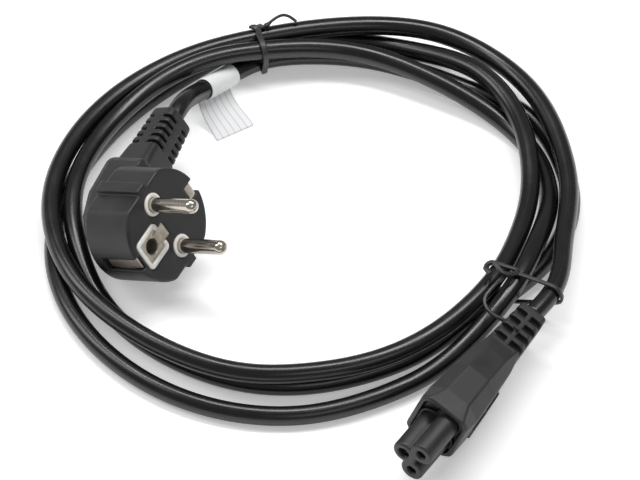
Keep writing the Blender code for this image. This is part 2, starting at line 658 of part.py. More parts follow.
def wire_round(centres, reach):
    """Points of a wire pulled round a bundle: straight between arcs of radius `reach`."""
    corners = hull_order(centres)
    count = len(corners)
    points = []
    for i in range(count):
        before, here, after = corners[i - 1], corners[i], corners[(i + 1) % count]
        start = math.atan2(here[1] - before[1], here[0] - before[0]) - math.pi / 2
        end = math.atan2(after[1] - here[1], after[0] - here[0]) - math.pi / 2
        while end < start:
            end += 2 * math.pi
        steps = max(1, round((end - start) / math.radians(24)))
        for step in range(steps + 1):
            angle = start + (end - start) * step / steps
            points.append((here[0] + reach * math.cos(angle), here[1] + reach * math.sin(angle)))
    return points


def make_tie(name, bearing, tail, stub):
    """A plastic-coated wire round every turn that passes one bearing, with its free ends."""
    base = Vector((COIL_SHIFT[0], COIL_SHIFT[1], GROUND))
    centres = []
    passing = bearing
    while passing > ROUTE[-1, 0]:
        if passing < ROUTE[0, 0]:
            point, _ = cord_point_at(passing)
            flat = point - base
            centres.append((Vector((flat.x, flat.y)).length, flat.z))
        passing -= 360.0
    reach = CORD_DIAMETER / 2 + TIE_GAP + TIE_DIAMETER / 2
    ring = wire_round(centres, reach)
    knot = Vector((tail[0][1], tail[0][2]))
    first = min(range(len(ring)), key=lambda i: (Vector(ring[i]) - knot).length)
    ring = ring[first:] + ring[:first]
    out = heading(bearing)
    aside = Vector((out.y, -out.x, 0.0))
    loop = []
    for i, (distance, height) in enumerate(ring):
        shift = TIE_PITCH * (i / (len(ring) - 1) - 0.5)
        loop.append(base + out * distance + Vector((0, 0, height)) + aside * shift)
    points = place(base, stub)[::-1] + loop + place(base, tail)
    return tube(name, points, TIE_DIAMETER, 2, PARTS)


PARTS = collection("cloverleaf_power_cord")
CUTTERS = collection("cutters")

CORD_CENTRES = cord_points(TUBE_STEP)
tube("cord", CORD_CENTRES, CORD_DIAMETER, CORD_SIDES_RESOLUTION, PARTS)

into_neck = into_plug()
tilt, lean = math.radians(PLUG_TILT), math.radians(NECK_LEAN)
side_way = heading(PLUG_HEADING + 90)
turned_up = side_way * math.cos(tilt) + into_neck.cross(side_way) * math.sin(tilt)
pins_way = into_neck * math.sin(lean) + turned_up * math.cos(lean)
away = into_neck * math.cos(lean) - turned_up * math.sin(lean)
plug_frame = bpy.data.objects.new("plug_frame", None)
PARTS.objects.link(plug_frame)
exit_point = Vector(CORD_CENTRES[0]) + into_neck * GAP
plug_origin = exit_point + into_neck * NECK_SECTIONS[-1][0] + pins_way * NECK_DEPTH
plug_frame.matrix_world = rest_matrix(away.cross(pins_way), away, pins_way, plug_origin)
make_plug(plug_frame)

forward = -heading(CONNECTOR_HEADING)
roll = math.radians(CONNECTOR_ROLL)
earth_way = heading(CONNECTOR_HEADING + 90) * math.cos(roll) + Vector((0, 0, math.sin(roll)))
neck_end = NOSE_LENGTH + SHELL_SECTIONS[-1][0]
connector_origin = Vector(CORD_CENTRES[-1]) + forward * (GAP + neck_end)
connector_frame = bpy.data.objects.new("connector_frame", None)
PARTS.objects.link(connector_frame)
connector_frame.matrix_world = rest_matrix(earth_way.cross(forward), earth_way, forward, connector_origin)
make_connector(connector_frame)

make_label()
make_tie("tie_top", TOP_TIE_AT, TOP_TIE_TAIL, TOP_TIE_STUB)
make_tie("tie_side", SIDE_TIE_AT, SIDE_TIE_TAIL, SIDE_TIE_STUB)

PAINTS = {
    "black_pvc": material("black_pvc", (0.012, 0.012, 0.013), 0.42),
    "charcoal_pvc": material("charcoal_pvc", (0.035, 0.034, 0.036), 0.55),
    "white_nylon": material("white_nylon", (0.72, 0.71, 0.68), 0.45),
    "nickel_plate": material("nickel_plate", (0.62, 0.58, 0.52), 0.22, 1.0),
    "earth_metal": material("earth_metal", (0.58, 0.53, 0.46), 0.3, 1.0),
    "white_paper": material("white_paper", (0.78, 0.79, 0.80), 0.6),
    "tie_plastic": material("tie_plastic", (0.03, 0.03, 0.033), 0.5),
}
WEARS = {
    "cord": "black_pvc", "plug_body": "charcoal_pvc", "plug_insert": "white_nylon",
    "pin_live": "nickel_plate", "pin_neutral": "nickel_plate", "earth_socket": "earth_metal",
    "earth_clip_inner": "earth_metal", "earth_clip_outer": "earth_metal",
    "connector_body": "charcoal_pvc", "connector_nose": "charcoal_pvc",
    "contact_live": "nickel_plate", "contact_neutral": "nickel_plate", "contact_earth": "nickel_plate",
    "label": "white_paper", "tie_top": "tie_plastic", "tie_side": "tie_plastic",
}
for name, paint in WEARS.items():
    bpy.data.objects[name].data.materials.append(PAINTS[paint])
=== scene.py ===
# %% [markdown]
# # Cloverleaf power cord
#
# This lesson dresses a mains cord: an angled earthed plug, a round black cord lying in loose
# turns, a three-lobed appliance connector, a paper flag and two plastic wire ties. The plain
# solids are loaded first, and every surface that shows is then worked out with numpy.

# %% Load the plain model
import math

import bpy
import numpy as np
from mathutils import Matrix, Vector


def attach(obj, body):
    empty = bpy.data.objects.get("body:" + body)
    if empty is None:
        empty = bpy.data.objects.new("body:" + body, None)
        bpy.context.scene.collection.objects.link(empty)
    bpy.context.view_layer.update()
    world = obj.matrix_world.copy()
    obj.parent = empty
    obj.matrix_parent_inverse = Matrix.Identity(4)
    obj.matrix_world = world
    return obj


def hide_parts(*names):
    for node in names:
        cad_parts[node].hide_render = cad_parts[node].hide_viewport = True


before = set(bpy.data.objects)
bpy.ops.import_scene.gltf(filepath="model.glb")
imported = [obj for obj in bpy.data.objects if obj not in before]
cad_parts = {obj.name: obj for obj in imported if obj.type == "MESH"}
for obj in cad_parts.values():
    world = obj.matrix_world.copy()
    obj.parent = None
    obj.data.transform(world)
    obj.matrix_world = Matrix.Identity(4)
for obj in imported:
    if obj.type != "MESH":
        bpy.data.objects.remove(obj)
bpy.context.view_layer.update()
print("nodes:", sorted(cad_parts))

# %% [markdown]
# ## Camera
#
# The photograph was taken from 48 degrees above, with so long a lens that the turns hardly
# shrink with distance. One millimetre is 3.1 pixels of the 640 pixel wide frame, so the view is
# 206 mm wide. A camera 2.4 m away with a narrow field gives the same picture.

# %% Camera
MM = 0.001
COIL = np.array((-0.63, 19.16, 0.0))          # centre of the turns, on the floor
PICTURE_WIDTH, PICTURE_HEIGHT = 640, 480
COIL_ACROSS, COIL_DOWN = 309.5, 214           # the coil's centre in the picture, in pixels
PIXELS_PER_MM = 3.1
ELEVATION = math.radians(48)
CAMERA_DISTANCE = 2.4
SENSOR_WIDTH = 36


def placed(name, data):
    """A new object, linked to the scene."""
    made = bpy.data.objects.new(name, data)
    bpy.context.scene.collection.objects.link(made)
    return made


centre_x = COIL[0] + (PICTURE_WIDTH / 2 - COIL_ACROSS) / PIXELS_PER_MM
centre_y = COIL[1] + (COIL_DOWN - PICTURE_HEIGHT / 2) / PIXELS_PER_MM / math.sin(ELEVATION)
looked_at = Vector((centre_x, centre_y, 0)) * MM
towards = Vector((0, -math.cos(ELEVATION), math.sin(ELEVATION)))

camera_data = bpy.data.cameras.new("camera")
camera_data.sensor_width = SENSOR_WIDTH
camera_data.lens = SENSOR_WIDTH * CAMERA_DISTANCE / (PICTURE_WIDTH / PIXELS_PER_MM * MM)
camera_data.clip_end = 20
camera = placed("camera", camera_data)
camera.location = looked_at + towards * CAMERA_DISTANCE
camera.rotation_euler = (-towards).to_track_quat("-Z", "Y").to_euler()
bpy.context.scene.camera = camera
print("lens", round(camera_data.lens, 1), "mm")

# %% [markdown]
# ## The cord's route
#
# The cord runs clockwise from the plug to the connector in three and a half turns. The route is
# a list of stations: bearing round the coil's centre, distance from it, and height of the cord's
# centre. Where two turns cross, one is on the floor and the other is a diameter higher.

# %% Stations of the route
CORD_DIAMETER = 6.3
LOW = CORD_DIAMETER / 2
PLUG_HEADING, PLUG_DIP = -114.0, 4.3
CONNECTOR_HEADING = 56.5

LEAD_IN = (
    (148.7, 51.7, 16.8), (145.0, 52.3, 17.0), (135.0, 55.2, 13.6), (121.3, 59.5, 7.4),
    (112.8, 63.1, 5.5),
)
FIRST_TURN = (
    (105, 65.4, 4.9), (90, 67.1, 3.9), (75, 68.5, LOW), (60, 69.8, LOW), (45, 73.9, LOW),
    (30, 81.7, LOW), (15, 84.2, LOW), (0, 84.4, LOW), (-15, 80.6, 4.1), (-30, 74.9, 4.8),
    (-45, 70.3, 3.6), (-60, 71.4, LOW), (-75, 73.3, LOW), (-90, 75.8, LOW), (-105, 77.6, LOW),
    (-120, 77.9, LOW), (-135, 78.0, LOW), (-150, 77.9, 4.4), (-165, 77.0, 7.6),
)
SECOND_TURN = (
    (-180, 76.1, 9.6), (-195, 73.5, 9.8), (-210, 70.6, 10.2), (-225, 67.8, 12.1),
    (-240, 65.3, 13.2), (-255, 63.7, 12.1), (-270, 63.9, 10.8), (-285, 64.7, 9.8),
    (-300, 65.1, 9.0), (-315, 67.9, 6.9), (-330, 73.4, 3.7), (-345, 77.1, 3.3),
    (-360, 77.3, 5.6), (-375, 76.0, 10.2), (-390, 76.9, 11.5), (-405, 77.9, 7.8),
    (-420, 80.3, 3.7), (-435, 83.8, LOW), (-450, 88.1, LOW), (-465, 90.4, LOW),
    (-480, 90.8, LOW), (-495, 89.9, LOW), (-510, 88.1, LOW), (-525, 84.9, LOW),
)
THIRD_TURN = (
    (-540, 80.2, LOW), (-555, 75.7, LOW), (-570, 72.4, LOW), (-585, 70.9, LOW),
    (-600, 71.5, 3.8), (-615, 74.1, 4.8), (-630, 74.9, 3.9), (-645, 75.6, 3.3),
    (-660, 76.4, 5.7), (-675, 77.4, 9.6), (-690, 76.2, 10.1), (-705, 73.4, 10.0),
    (-720, 70.9, 9.0), (-735, 69.3, 9.5), (-750, 69.7, 10.6), (-765, 70.4, 10.2),
    (-780, 72.2, 9.8), (-795, 74.3, 9.8), (-810, 76.3, 9.8), (-825, 79.1, 9.8),
    (-840, 80.2, 9.8), (-855, 81.2, 9.7), (-870, 82.9, 9.5), (-885, 83.8, 9.8),
)
LAST_TURN = (
    (-900, 83.1, 9.8), (-915, 80.5, 9.7), (-930, 77.4, 9.7), (-945, 74.4, 9.8),
    (-960, 71.7, 10.6), (-975, 70.4, 10.9), (-990, 72.4, 10.6), (-1005, 77.4, 10.0),
    (-1020, 83.1, 9.5), (-1035, 85.6, 8.9), (-1050, 85.4, 9.7), (-1065, 84.1, 9.9),
    (-1080, 83.7, 9.9), (-1095, 84.4, 10.7), (-1108.9, 89.0, 12.6), (-1117.9, 91.6, 12.8),
)
STATIONS = np.array(LEAD_IN + FIRST_TURN + SECOND_TURN + THIRD_TURN + LAST_TURN)


def level_way(degrees):
    """Unit vector on the floor at a bearing."""
    return np.array((math.cos(math.radians(degrees)), math.sin(math.radians(degrees)), 0.0))


UP = np.array((0.0, 0.0, 1.0))
INTO_PLUG = (level_way(PLUG_HEADING) * math.cos(math.radians(PLUG_DIP))
             - UP * math.sin(math.radians(PLUG_DIP)))
INTO_CONNECTOR = -level_way(CONNECTOR_HEADING)
print(len(STATIONS), "stations over", STATIONS[0, 0] - STATIONS[-1, 0], "degrees")

# %% [markdown]
# ## A smooth line through the stations
#
# A thin batten bent through the stations takes the shape of least bending, which is close to
# how a springy cord lies. Its formula is the natural cubic spline. The line could be a Blender
# curve, but here the points themselves are needed, for the tube and for what sits on it.

# %% The batten
def natural_spline(knots, values, at):
    """Cubic pieces through all the values whose slope and bend run on at each knot, and whose
    bend is zero at both ends: the shape of a thin batten held at the knots."""
    gaps = np.diff(knots)
    slopes = np.diff(values, axis=0) / gaps[:, None]
    count = len(knots)
    system = np.eye(count)
    inner = np.arange(1, count - 1)
    system[inner, inner - 1] = gaps[:-1]
    system[inner, inner] = 2 * (gaps[:-1] + gaps[1:])
    system[inner, inner + 1] = gaps[1:]
    right = np.zeros_like(values)
    right[1:-1] = 6 * np.diff(slopes, axis=0)
    bend = np.linalg.solve(system, right)
    span = np.clip(np.searchsorted(knots, at) - 1, 0, count - 2)
    gap = gaps[span][:, None]
    t = (at - knots[span])[:, None]
    here, after = bend[span], bend[span + 1]
    start_slope = slopes[span] - gap * (2 * here + after) / 6
    return values[span] + t * start_slope + t**2 * here / 2 + t**3 * (after - here) / (6 * gap)


STATION_STEP, STATION_ROOM = 15.0, 5.0        # degrees between points, and least room at the ends


def route_points():
    """The solids' own points of the centre line, one at each 15 degrees."""
    start, second, end = STATIONS[0, 0], STATIONS[1, 0], STATIONS[-1, 0]
    whole = np.arange(math.floor(start / STATION_STEP) * STATION_STEP, end, -STATION_STEP)
    whole = whole[(whole < second - STATION_ROOM) & (whole > end + STATION_ROOM)]
    bearing = np.concatenate([[start, second], whole, [end]])
    radius, height = natural_spline(start - STATIONS[:, 0], STATIONS[:, 1:], start - bearing).T
    height = np.maximum(height, LOW)
    angle = np.radians(bearing)
    points = COIL + np.stack([radius * np.cos(angle), radius * np.sin(angle), height], axis=1)
    points[0] = points[1] + INTO_PLUG * np.linalg.norm(points[0] - points[1])
    points[-1] = points[-2] + INTO_CONNECTOR * np.linalg.norm(points[-1] - points[-2])
    return points


def travelled(line):
    """Distance along a line at each of its points."""
    return np.concatenate([[0], np.cumsum(np.linalg.norm(np.diff(line, axis=0), axis=1))])


def points_at(line, reach, at):
    """Points of a line at given distances along it."""
    return np.stack([np.interp(at, reach, line[:, i]) for i in range(3)], axis=1)


def unit(ways):
    """Rows of directions, each brought to length one."""
    return ways / np.linalg.norm(ways, axis=1)[:, None]


def even_steps(points, spacing):
    """Points at even distances along a dense line."""
    reach = travelled(points)
    count = max(2, int(round(reach[-1] / spacing)) + 1)
    return points_at(points, reach, np.linspace(0, reach[-1], count))


def batten(points, spacing, per_point=40):
    """A smooth line through points, cut into even steps."""
    reach = travelled(points)
    dense = natural_spline(reach, points, np.linspace(0, reach[-1], len(points) * per_point))
    return even_steps(dense, spacing)


# %% [markdown]
# ## The cord's centre line
#
# The batten is bent through the route's points and on into both necks, and is then cut where
# the cord meets them. It is nowhere lower than half the cord's thickness, because it lies on
# the floor.

# %% The cord's centre line
ROUTE = route_points()
NECK_RUN = 12.0                               # the cord goes on straight inside both necks
FINE_STEP, SHEATH_STEP = 0.5, 1.4             # mm between points, for measuring and for the tube
NEAR_END = 400                                # fine points searched for each end of the route
whole_line = batten(np.concatenate([[ROUTE[0] + INTO_PLUG * NECK_RUN], ROUTE,
                                    [ROUTE[-1] + INTO_CONNECTOR * NECK_RUN]]), FINE_STEP)
line_start = np.argmin(np.linalg.norm(whole_line[:NEAR_END] - ROUTE[0], axis=1))
line_end = len(whole_line) - NEAR_END + np.argmin(
    np.linalg.norm(whole_line[-NEAR_END:] - ROUTE[-1], axis=1))
fine_line = whole_line[line_start:line_end + 1]
centre_line = even_steps(fine_line, SHEATH_STEP)
centre_line[:, 2] = np.maximum(centre_line[:, 2], LOW)

# %% [markdown]
# ## Tools for surfaces
#
# Each surface is an array of points with two parameters, rows and columns. One function turns
# such a grid into a mesh and gives it a UV map in metres, so that a pattern's size can be set
# in real lengths. Another puts a finished mesh on the cord's only body.

# %% Mesh from points and faces
def to_mesh(name, points, faces, closed=True):
    """A smooth mesh, in metres, of points in mm. A closed one whose volume, the sum of its
    triangles' triple products, comes out negative is turned to face outwards."""
    mesh = bpy.data.meshes.new(name)
    mesh.from_pydata((np.asarray(points, float) * MM).tolist(), [], faces)
    mesh.validate()
    mesh.shade_smooth()
    if closed:
        mesh.calc_loop_triangles()
        corners = np.zeros(len(mesh.loop_triangles) * 3, int)
        mesh.loop_triangles.foreach_get("vertices", corners)
        a, b, c = np.asarray(points, float)[corners].reshape(-1, 3, 3).transpose(1, 0, 2)
        if np.einsum("ij,ij->i", a, np.cross(b, c)).sum() < 0:
            mesh.flip_normals()
    return mesh


def grid_mesh(name, points, spans, tube=True):
    """A mesh of a grid of points, rows by columns. A tube is closed round its columns and has a
    face at both ends. `spans` gives the distance in mm along the rows and along the columns,
    for the UV map."""
    rows, columns = points.shape[:2]
    i, j = np.meshgrid(np.arange(rows - 1), np.arange(columns if tube else columns - 1),
                       indexing="ij")
    i, j = i.ravel(), j.ravel()
    corner_i = np.stack([i, i, i + 1, i + 1], axis=1)
    corner_j = np.stack([j, j + 1, j + 1, j], axis=1)
    quads = corner_i * columns + corner_j % columns
    faces = quads.tolist()
    if tube:
        faces += [list(range(columns))[::-1], list(range((rows - 1) * columns, rows * columns))]
    mesh = to_mesh(name, points.reshape(-1, 3), faces, closed=tube)
    corner = np.zeros(len(mesh.loops), int)
    mesh.loops.foreach_get("vertex_index", corner)
    turned = not np.array_equal(corner[:quads.size], quads.ravel())
    order = [0, 3, 2, 1] if turned else [0, 1, 2, 3]
    flat = np.zeros((len(corner), 2))
    flat[:quads.size, 0] = spans[0][corner_i[:, order]].ravel() * MM
    flat[:quads.size, 1] = spans[1][corner_j[:, order]].ravel() * MM
    mesh.uv_layers.new(name="surface").data.foreach_set("uv", flat.ravel())
    return mesh


def piece(name, mesh, material, nodes):
    """An object at the origin that rides on the cord's only body and stands for solids."""
    made = placed(name, mesh)
    mesh.materials.append(material)
    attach(made, "root")
    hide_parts(*nodes)
    print(name, len(mesh.vertices), "points")
    return made


def across(line, reference):
    """Two unit directions across a line: the one nearest to `reference`, and the one square
    to it and to the line."""
    along = unit(np.gradient(line, axis=0))
    first_way = unit(reference - (reference * along).sum(axis=1)[:, None] * along)
    return first_way, np.cross(along, first_way)


# %% [markdown]
# ## Tools for materials
#
# A material is a Principled shader whose inputs take typical values of the real stuff, and a
# few pattern nodes for what its making left behind. Colours are picked as sRGB hex values, as
# in any paint program, and turned to the linear light that Blender computes with.

# %% Colours and nodes
def srgb(code):
    """Linear RGBA of an sRGB hex colour: the standard curve, (c + 0.055) / 1.055 to the 2.4."""
    values = np.array([int(code[i:i + 2], 16) / 255 for i in (1, 3, 5)])
    linear = np.where(values <= 0.04045, values / 12.92, ((values + 0.055) / 1.055) ** 2.4)
    return (*linear.tolist(), 1.0)


def add_node(tree, kind, inputs=None, **settings):
    """A node with its settings; each input takes a value or a link from another's output."""
    made = tree.nodes.new("ShaderNode" + kind)
    for key, value in settings.items():
        setattr(made, key, value)
    for key, value in (inputs or {}).items():
        if isinstance(value, bpy.types.NodeSocket):
            tree.links.new(value, made.inputs[key])
        else:
            made.inputs[key].default_value = value
    return made


def new_material(name, **sockets):
    """A Principled material whose shader takes the given values."""
    made = bpy.data.materials.new(name)
    made.use_nodes = True
    shader = made.node_tree.nodes["Principled BSDF"]
    for key, value in sockets.items():
        shader.inputs[key.replace("_", " ")].default_value = value
    return made, made.node_tree, shader


def on_surface(tree):
    """Place on a surface, in metres along its UV map."""
    return add_node(tree, "UVMap", uv_map="surface").outputs[0]


def in_body(tree):
    """Place in a body, in metres from its origin."""
    return add_node(tree, "TexCoord").outputs["Object"]


def noise(tree, vector, size, detail):
    """Noise whose patches are about `size` metres across."""
    made = add_node(tree, "TexNoise", {"Vector": vector, "Scale": 1 / size, "Detail": detail})
    return made.outputs["Fac"]


def streaky(tree, vector, length, width, detail):
    """Noise drawn out into streaks, `length` and `width` in metres."""
    scale = (1 / length, 1 / width, 1.0)
    drawn_out = add_node(tree, "Mapping", {"Vector": vector, "Scale": scale}).outputs[0]
    return noise(tree, drawn_out, 1.0, detail)


def blend(tree, share, one, other):
    """Two values mixed, with `share` of the second."""
    return add_node(tree, "Mix", {0: share, 2: one, 3: other}).outputs[0]


NOISE_LOW, NOISE_HIGH = 0.35, 0.65            # nearly all of a noise lies between these


def set_shine(tree, shader, value, shine):
    """Roughness that goes from the first value of `shine` to the second as the noise rises."""
    shiny = add_node(tree, "MapRange", {"Value": value, 1: NOISE_LOW, 2: NOISE_HIGH,
                                        3: shine[0], 4: shine[1]})
    tree.links.new(shiny.outputs[0], shader.inputs["Roughness"])


def set_relief(tree, shader, height, depth, strength=1.0):
    """Fine relief in the shading alone, `depth` metres high."""
    bump = add_node(tree, "Bump", {"Height": height, "Strength": strength, "Distance": depth})
    tree.links.new(bump.outputs[0], shader.inputs["Normal"])


def surface_marks(tree, shader, vector, grain_mm, depth_mm, shine, tint=None, patch_mm=6.0):
    """Grain as height, slow patches that spread the roughness between the two values of
    `shine`, and optionally a second colour in the patches."""
    grain = noise(tree, vector, grain_mm * MM, 2.0)
    patch = noise(tree, vector, patch_mm * MM, 4.0)
    mixed = blend(tree, 0.35, patch, grain)
    set_shine(tree, shader, mixed, shine)
    set_relief(tree, shader, grain, depth_mm * MM)
    if tint:
        share = add_node(tree, "MapRange", {"Value": mixed, 1: 0.38, 2: 0.62})
        colour = add_node(tree, "Mix", {0: share.outputs[0], 6: srgb(tint[0]), 7: srgb(tint[1])},
                          data_type="RGBA")
        tree.links.new(colour.outputs[2], shader.inputs["Base Color"])


# %% [markdown]
# ## The cord's sheath
#
# The sheath is flexible PVC, extruded over three stranded cores. It leaves the die almost
# smooth, so it shows long soft highlights, with faint streaks that the die draws along it and
# dull patches from handling. A circle is carried along the centre line; its UV map holds the
# distance along the cord and round it, so the streaks follow every bend.

# %% Flexible PVC, extruded
PVC_IOR = 1.53
sheath_pvc, tree, shader = new_material("flexible_pvc_extruded", Base_Color=srgb("#0e0e0f"),
                                        IOR=PVC_IOR)
way = on_surface(tree)
# Streaks some 50 mm long and 0.5 mm apart; the real ones are finer and would not show.
streaks = streaky(tree, way, 0.05, 0.0005, 3.0)
patches = noise(tree, way, 0.012, 5.0)
set_shine(tree, shader, blend(tree, 0.5, streaks, patches), (0.19, 0.34))
set_relief(tree, shader, streaks, 0.00003)

# %% The sheath
SHEATH_SIDES = 40
side, upper = across(centre_line, np.cross(np.gradient(centre_line, axis=0), UP))
turn = np.linspace(0, 2 * math.pi, SHEATH_SIDES, endpoint=False)[None, :, None]
ring = LOW * (np.cos(turn) * side[:, None] + np.sin(turn) * upper[:, None])
around = np.linspace(0, 2 * math.pi * LOW, SHEATH_SIDES + 1)
mesh = grid_mesh("sheath", centre_line[:, None] + ring, (travelled(centre_line), around))
sheath = piece("sheath", mesh, sheath_pvc, ["cord"])

# %% [markdown]
# ## Moulded bodies
#
# The plug and the connector are each one soft PVC moulding: flat faces and slots that run into
# each other with small fillets. A grid of two parameters can't branch like that, so these
# bodies are made from their depth instead. A depth function gives, for any point, how far it
# lies outside the body. Depths join with a minimum, cut with a maximum, and a soft minimum or
# maximum leaves a fillet. The skin is then laid where the depth is zero.

# %% Depths of simple forms
def soft_max(a, b, fillet):
    """The larger depth, rounded where the two are within `fillet` of each other."""
    near = np.maximum(fillet - np.abs(a - b), 0) / fillet
    return np.maximum(a, b) + near**2 * fillet / 4


def soft_min(a, b, fillet):
    """The smaller depth, rounded in the same way."""
    return -soft_max(-a, -b, fillet)


def rounded(a, b, radius):
    """Depth of two slabs that meet in an edge of some radius. Both depths are given from
    planes that lie about that radius inside the slabs."""
    return np.hypot(np.maximum(a, 0), np.maximum(b, 0)) + np.minimum(np.maximum(a, b), 0) - radius


def round_bar(x, y, radius):
    """Depth of an endless bar along Z: distance from its axis less its radius."""
    return np.hypot(x, y) - radius


def between(v, low, high):
    """Depth of a slab: how far v lies outside low to high."""
    return np.maximum(low - v, v - high)


def block(x, y, z, centre, size, fillet):
    """Depth of a box: the largest of its three slabs, rounded by `fillet`."""
    sx = np.abs(x - centre[0]) - size[0] / 2
    sy = np.abs(y - centre[1]) - size[1] / 2
    sz = np.abs(z - centre[2]) - size[2] / 2
    outside = np.sqrt(sum(np.maximum(s + fillet, 0) ** 2 for s in (sx, sy, sz)))
    return outside + np.minimum(np.maximum(np.maximum(sx, sy), sz) + fillet, 0) - fillet


# %% A skin where the depth is zero
CELL_CORNERS = np.array([(i, j, k) for i in (0, 1) for j in (0, 1) for k in (0, 1)])
CELL_EDGES = [(a, b) for a in range(8) for b in range(a + 1, 8)
              if np.abs(CELL_CORNERS[a] - CELL_CORNERS[b]).sum() == 1]
TINY, LEAST_SLOPE = 0.02, 0.25                # mm to measure a slope over, and its least square
BODY_CELL, NOSE_CELL, FINE_CELL = 0.36, 0.25, 0.17      # mm


def skin(depth, low, high, cell):
    """Points and quads where depth(x, y, z) is zero, in a box cut into cells.

    Each cell that the surface crosses gets one point, the mean of its edges' crossings, and
    each crossed edge joins the four cells round it. Two steps down the slope of the depth
    then bring the points onto the surface."""
    axes = [np.arange(a, b + cell, cell) for a, b in zip(low, high)]
    value = depth(*np.meshgrid(*axes, indexing="ij"))
    inside = value < 0
    wide, long, high_up = np.array(inside.shape) - 1
    corner_in = [inside[i:wide + i, j:long + j, k:high_up + k] for i, j, k in CELL_CORNERS]
    crossed = np.logical_or.reduce(corner_in) & ~np.logical_and.reduce(corner_in)
    where = np.argwhere(crossed)
    number = np.full(crossed.shape, -1)
    number[crossed] = np.arange(len(where))
    corner_value = np.stack([value[tuple((where + c).T)] for c in CELL_CORNERS], axis=1)
    total, hits = np.zeros((len(where), 3)), np.zeros(len(where))
    for a, b in CELL_EDGES:
        va, vb = corner_value[:, a], corner_value[:, b]
        cut = (va < 0) != (vb < 0)
        share = np.where(cut, va / np.where(cut, va - vb, 1), 0)
        place = CELL_CORNERS[a] + share[:, None] * (CELL_CORNERS[b] - CELL_CORNERS[a])
        total += place * cut[:, None]
        hits += cut
    points = np.array(low) + (where + total / hits[:, None]) * cell
    quads = []
    for axis in range(3):
        ahead, behind = [slice(None)] * 3, [slice(None)] * 3
        ahead[axis], behind[axis] = slice(1, None), slice(None, -1)
        start, end = inside[tuple(behind)], inside[tuple(ahead)]
        for flip in (False, True):
            spots = np.argwhere((end & ~start) if flip else (start & ~end))
            b, c = [(1, 2), (2, 0), (0, 1)][axis]
            step_b, step_c = np.eye(3, dtype=int)[b], np.eye(3, dtype=int)[c]
            around = [spots - step_b - step_c, spots - step_c, spots, spots - step_b]
            faces = np.stack([number[tuple(a.T)] for a in around], axis=1)
            quads.append(faces[:, ::-1] if flip else faces)
    for _ in range(2):
        here = depth(*points.T)
        slope = np.stack([depth(*(points + TINY * e).T) - depth(*(points - TINY * e).T)
                          for e in np.eye(3)], axis=1) / (2 * TINY)
        size = np.maximum((slope**2).sum(axis=1), LEAST_SLOPE)
        step = np.clip(here / size, -cell / 3, cell / 3)
        points = points - slope * step[:, None]
    return points, np.concatenate(quads)


def set_in(place, points):
    """Points of a piece's own frame, in the shared frame: turned by the frame's three axes,
    then moved to its origin. A grid of points keeps its shape."""
    axes, origin = place
    return (points.reshape(-1, 3) @ axes + origin).reshape(points.shape)


def moulded(name, depth, low, high, cell, place, material, nodes):
    """A skinned body whose depth is written in its own frame, set in its place."""
    points, faces = skin(depth, low, high, cell)
    piece(name, to_mesh(name, set_in(place, points), faces), material, nodes)


# %% [markdown]
# ## Where the plug and the connector lie
#
# Both are written in frames of their own. The plug's X runs along the row of pins, Y away from
# the cord and Z out of the face. The connector's X runs along its row of two holes, Y towards
# the earth hole and Z out of its front. Their places follow from the two ends of the cord.

# %% Two frames
CLEARANCE = 0.3
PLUG_TILT, NECK_LEAN = math.radians(29.5), math.radians(6.0)
NECK_DEPTH, NECK_REACH = 24.5, 46.4
CONNECTOR_ROLL = math.radians(20.0)
CONNECTOR_LENGTH = 70.5

side_way = level_way(PLUG_HEADING + 90)
turned_up = side_way * math.cos(PLUG_TILT) + np.cross(INTO_PLUG, side_way) * math.sin(PLUG_TILT)
pins_way = INTO_PLUG * math.sin(NECK_LEAN) + turned_up * math.cos(NECK_LEAN)
away = INTO_PLUG * math.cos(NECK_LEAN) - turned_up * math.sin(NECK_LEAN)
plug_origin = ROUTE[0] + INTO_PLUG * (CLEARANCE + NECK_REACH) + pins_way * NECK_DEPTH
plug_place = (np.stack([np.cross(away, pins_way), away, pins_way]), plug_origin)

earth_way = (level_way(CONNECTOR_HEADING + 90) * math.cos(CONNECTOR_ROLL)
             + UP * math.sin(CONNECTOR_ROLL))
connector_origin = ROUTE[-1] + INTO_CONNECTOR * (CLEARANCE + CONNECTOR_LENGTH)
connector_place = (np.stack([np.cross(earth_way, INTO_CONNECTOR), earth_way, INTO_CONNECTOR]),
                   connector_origin)
print("plug face", plug_origin.round(1), "connector front", connector_origin.round(1))

# %% [markdown]
# ## Soft PVC from a spark-eroded mould
#
# Both ends are moulded over the cord in soft PVC. The mould's walls are spark-eroded, which
# leaves a fine even grain, so the black looks charcoal and matte, with a broad soft sheen.

# %% Moulded PVC
moulded_pvc, tree, shader = new_material("soft_pvc_moulded", Base_Color=srgb("#2a292b"),
                                         IOR=PVC_IOR)
# The real grain is about 0.05 mm; 0.3 mm is the finest that shows at this size.
surface_marks(tree, shader, in_body(tree), 0.3, 0.03, (0.4, 0.56), ("#1a191b", "#252427"), 9.0)

# %% [markdown]
# ## The plug's body
#
# The overmould is one shot over the pins' carrier: a round face that fits a recessed socket,
# flats with a guide rib at each side, a lobe at the back to pull by, and a tapered neck. Slots
# round the neck's four edges let it bend with the cord. It could be cut with Booleans, but
# their edges would be sharp, and a moulding's aren't.

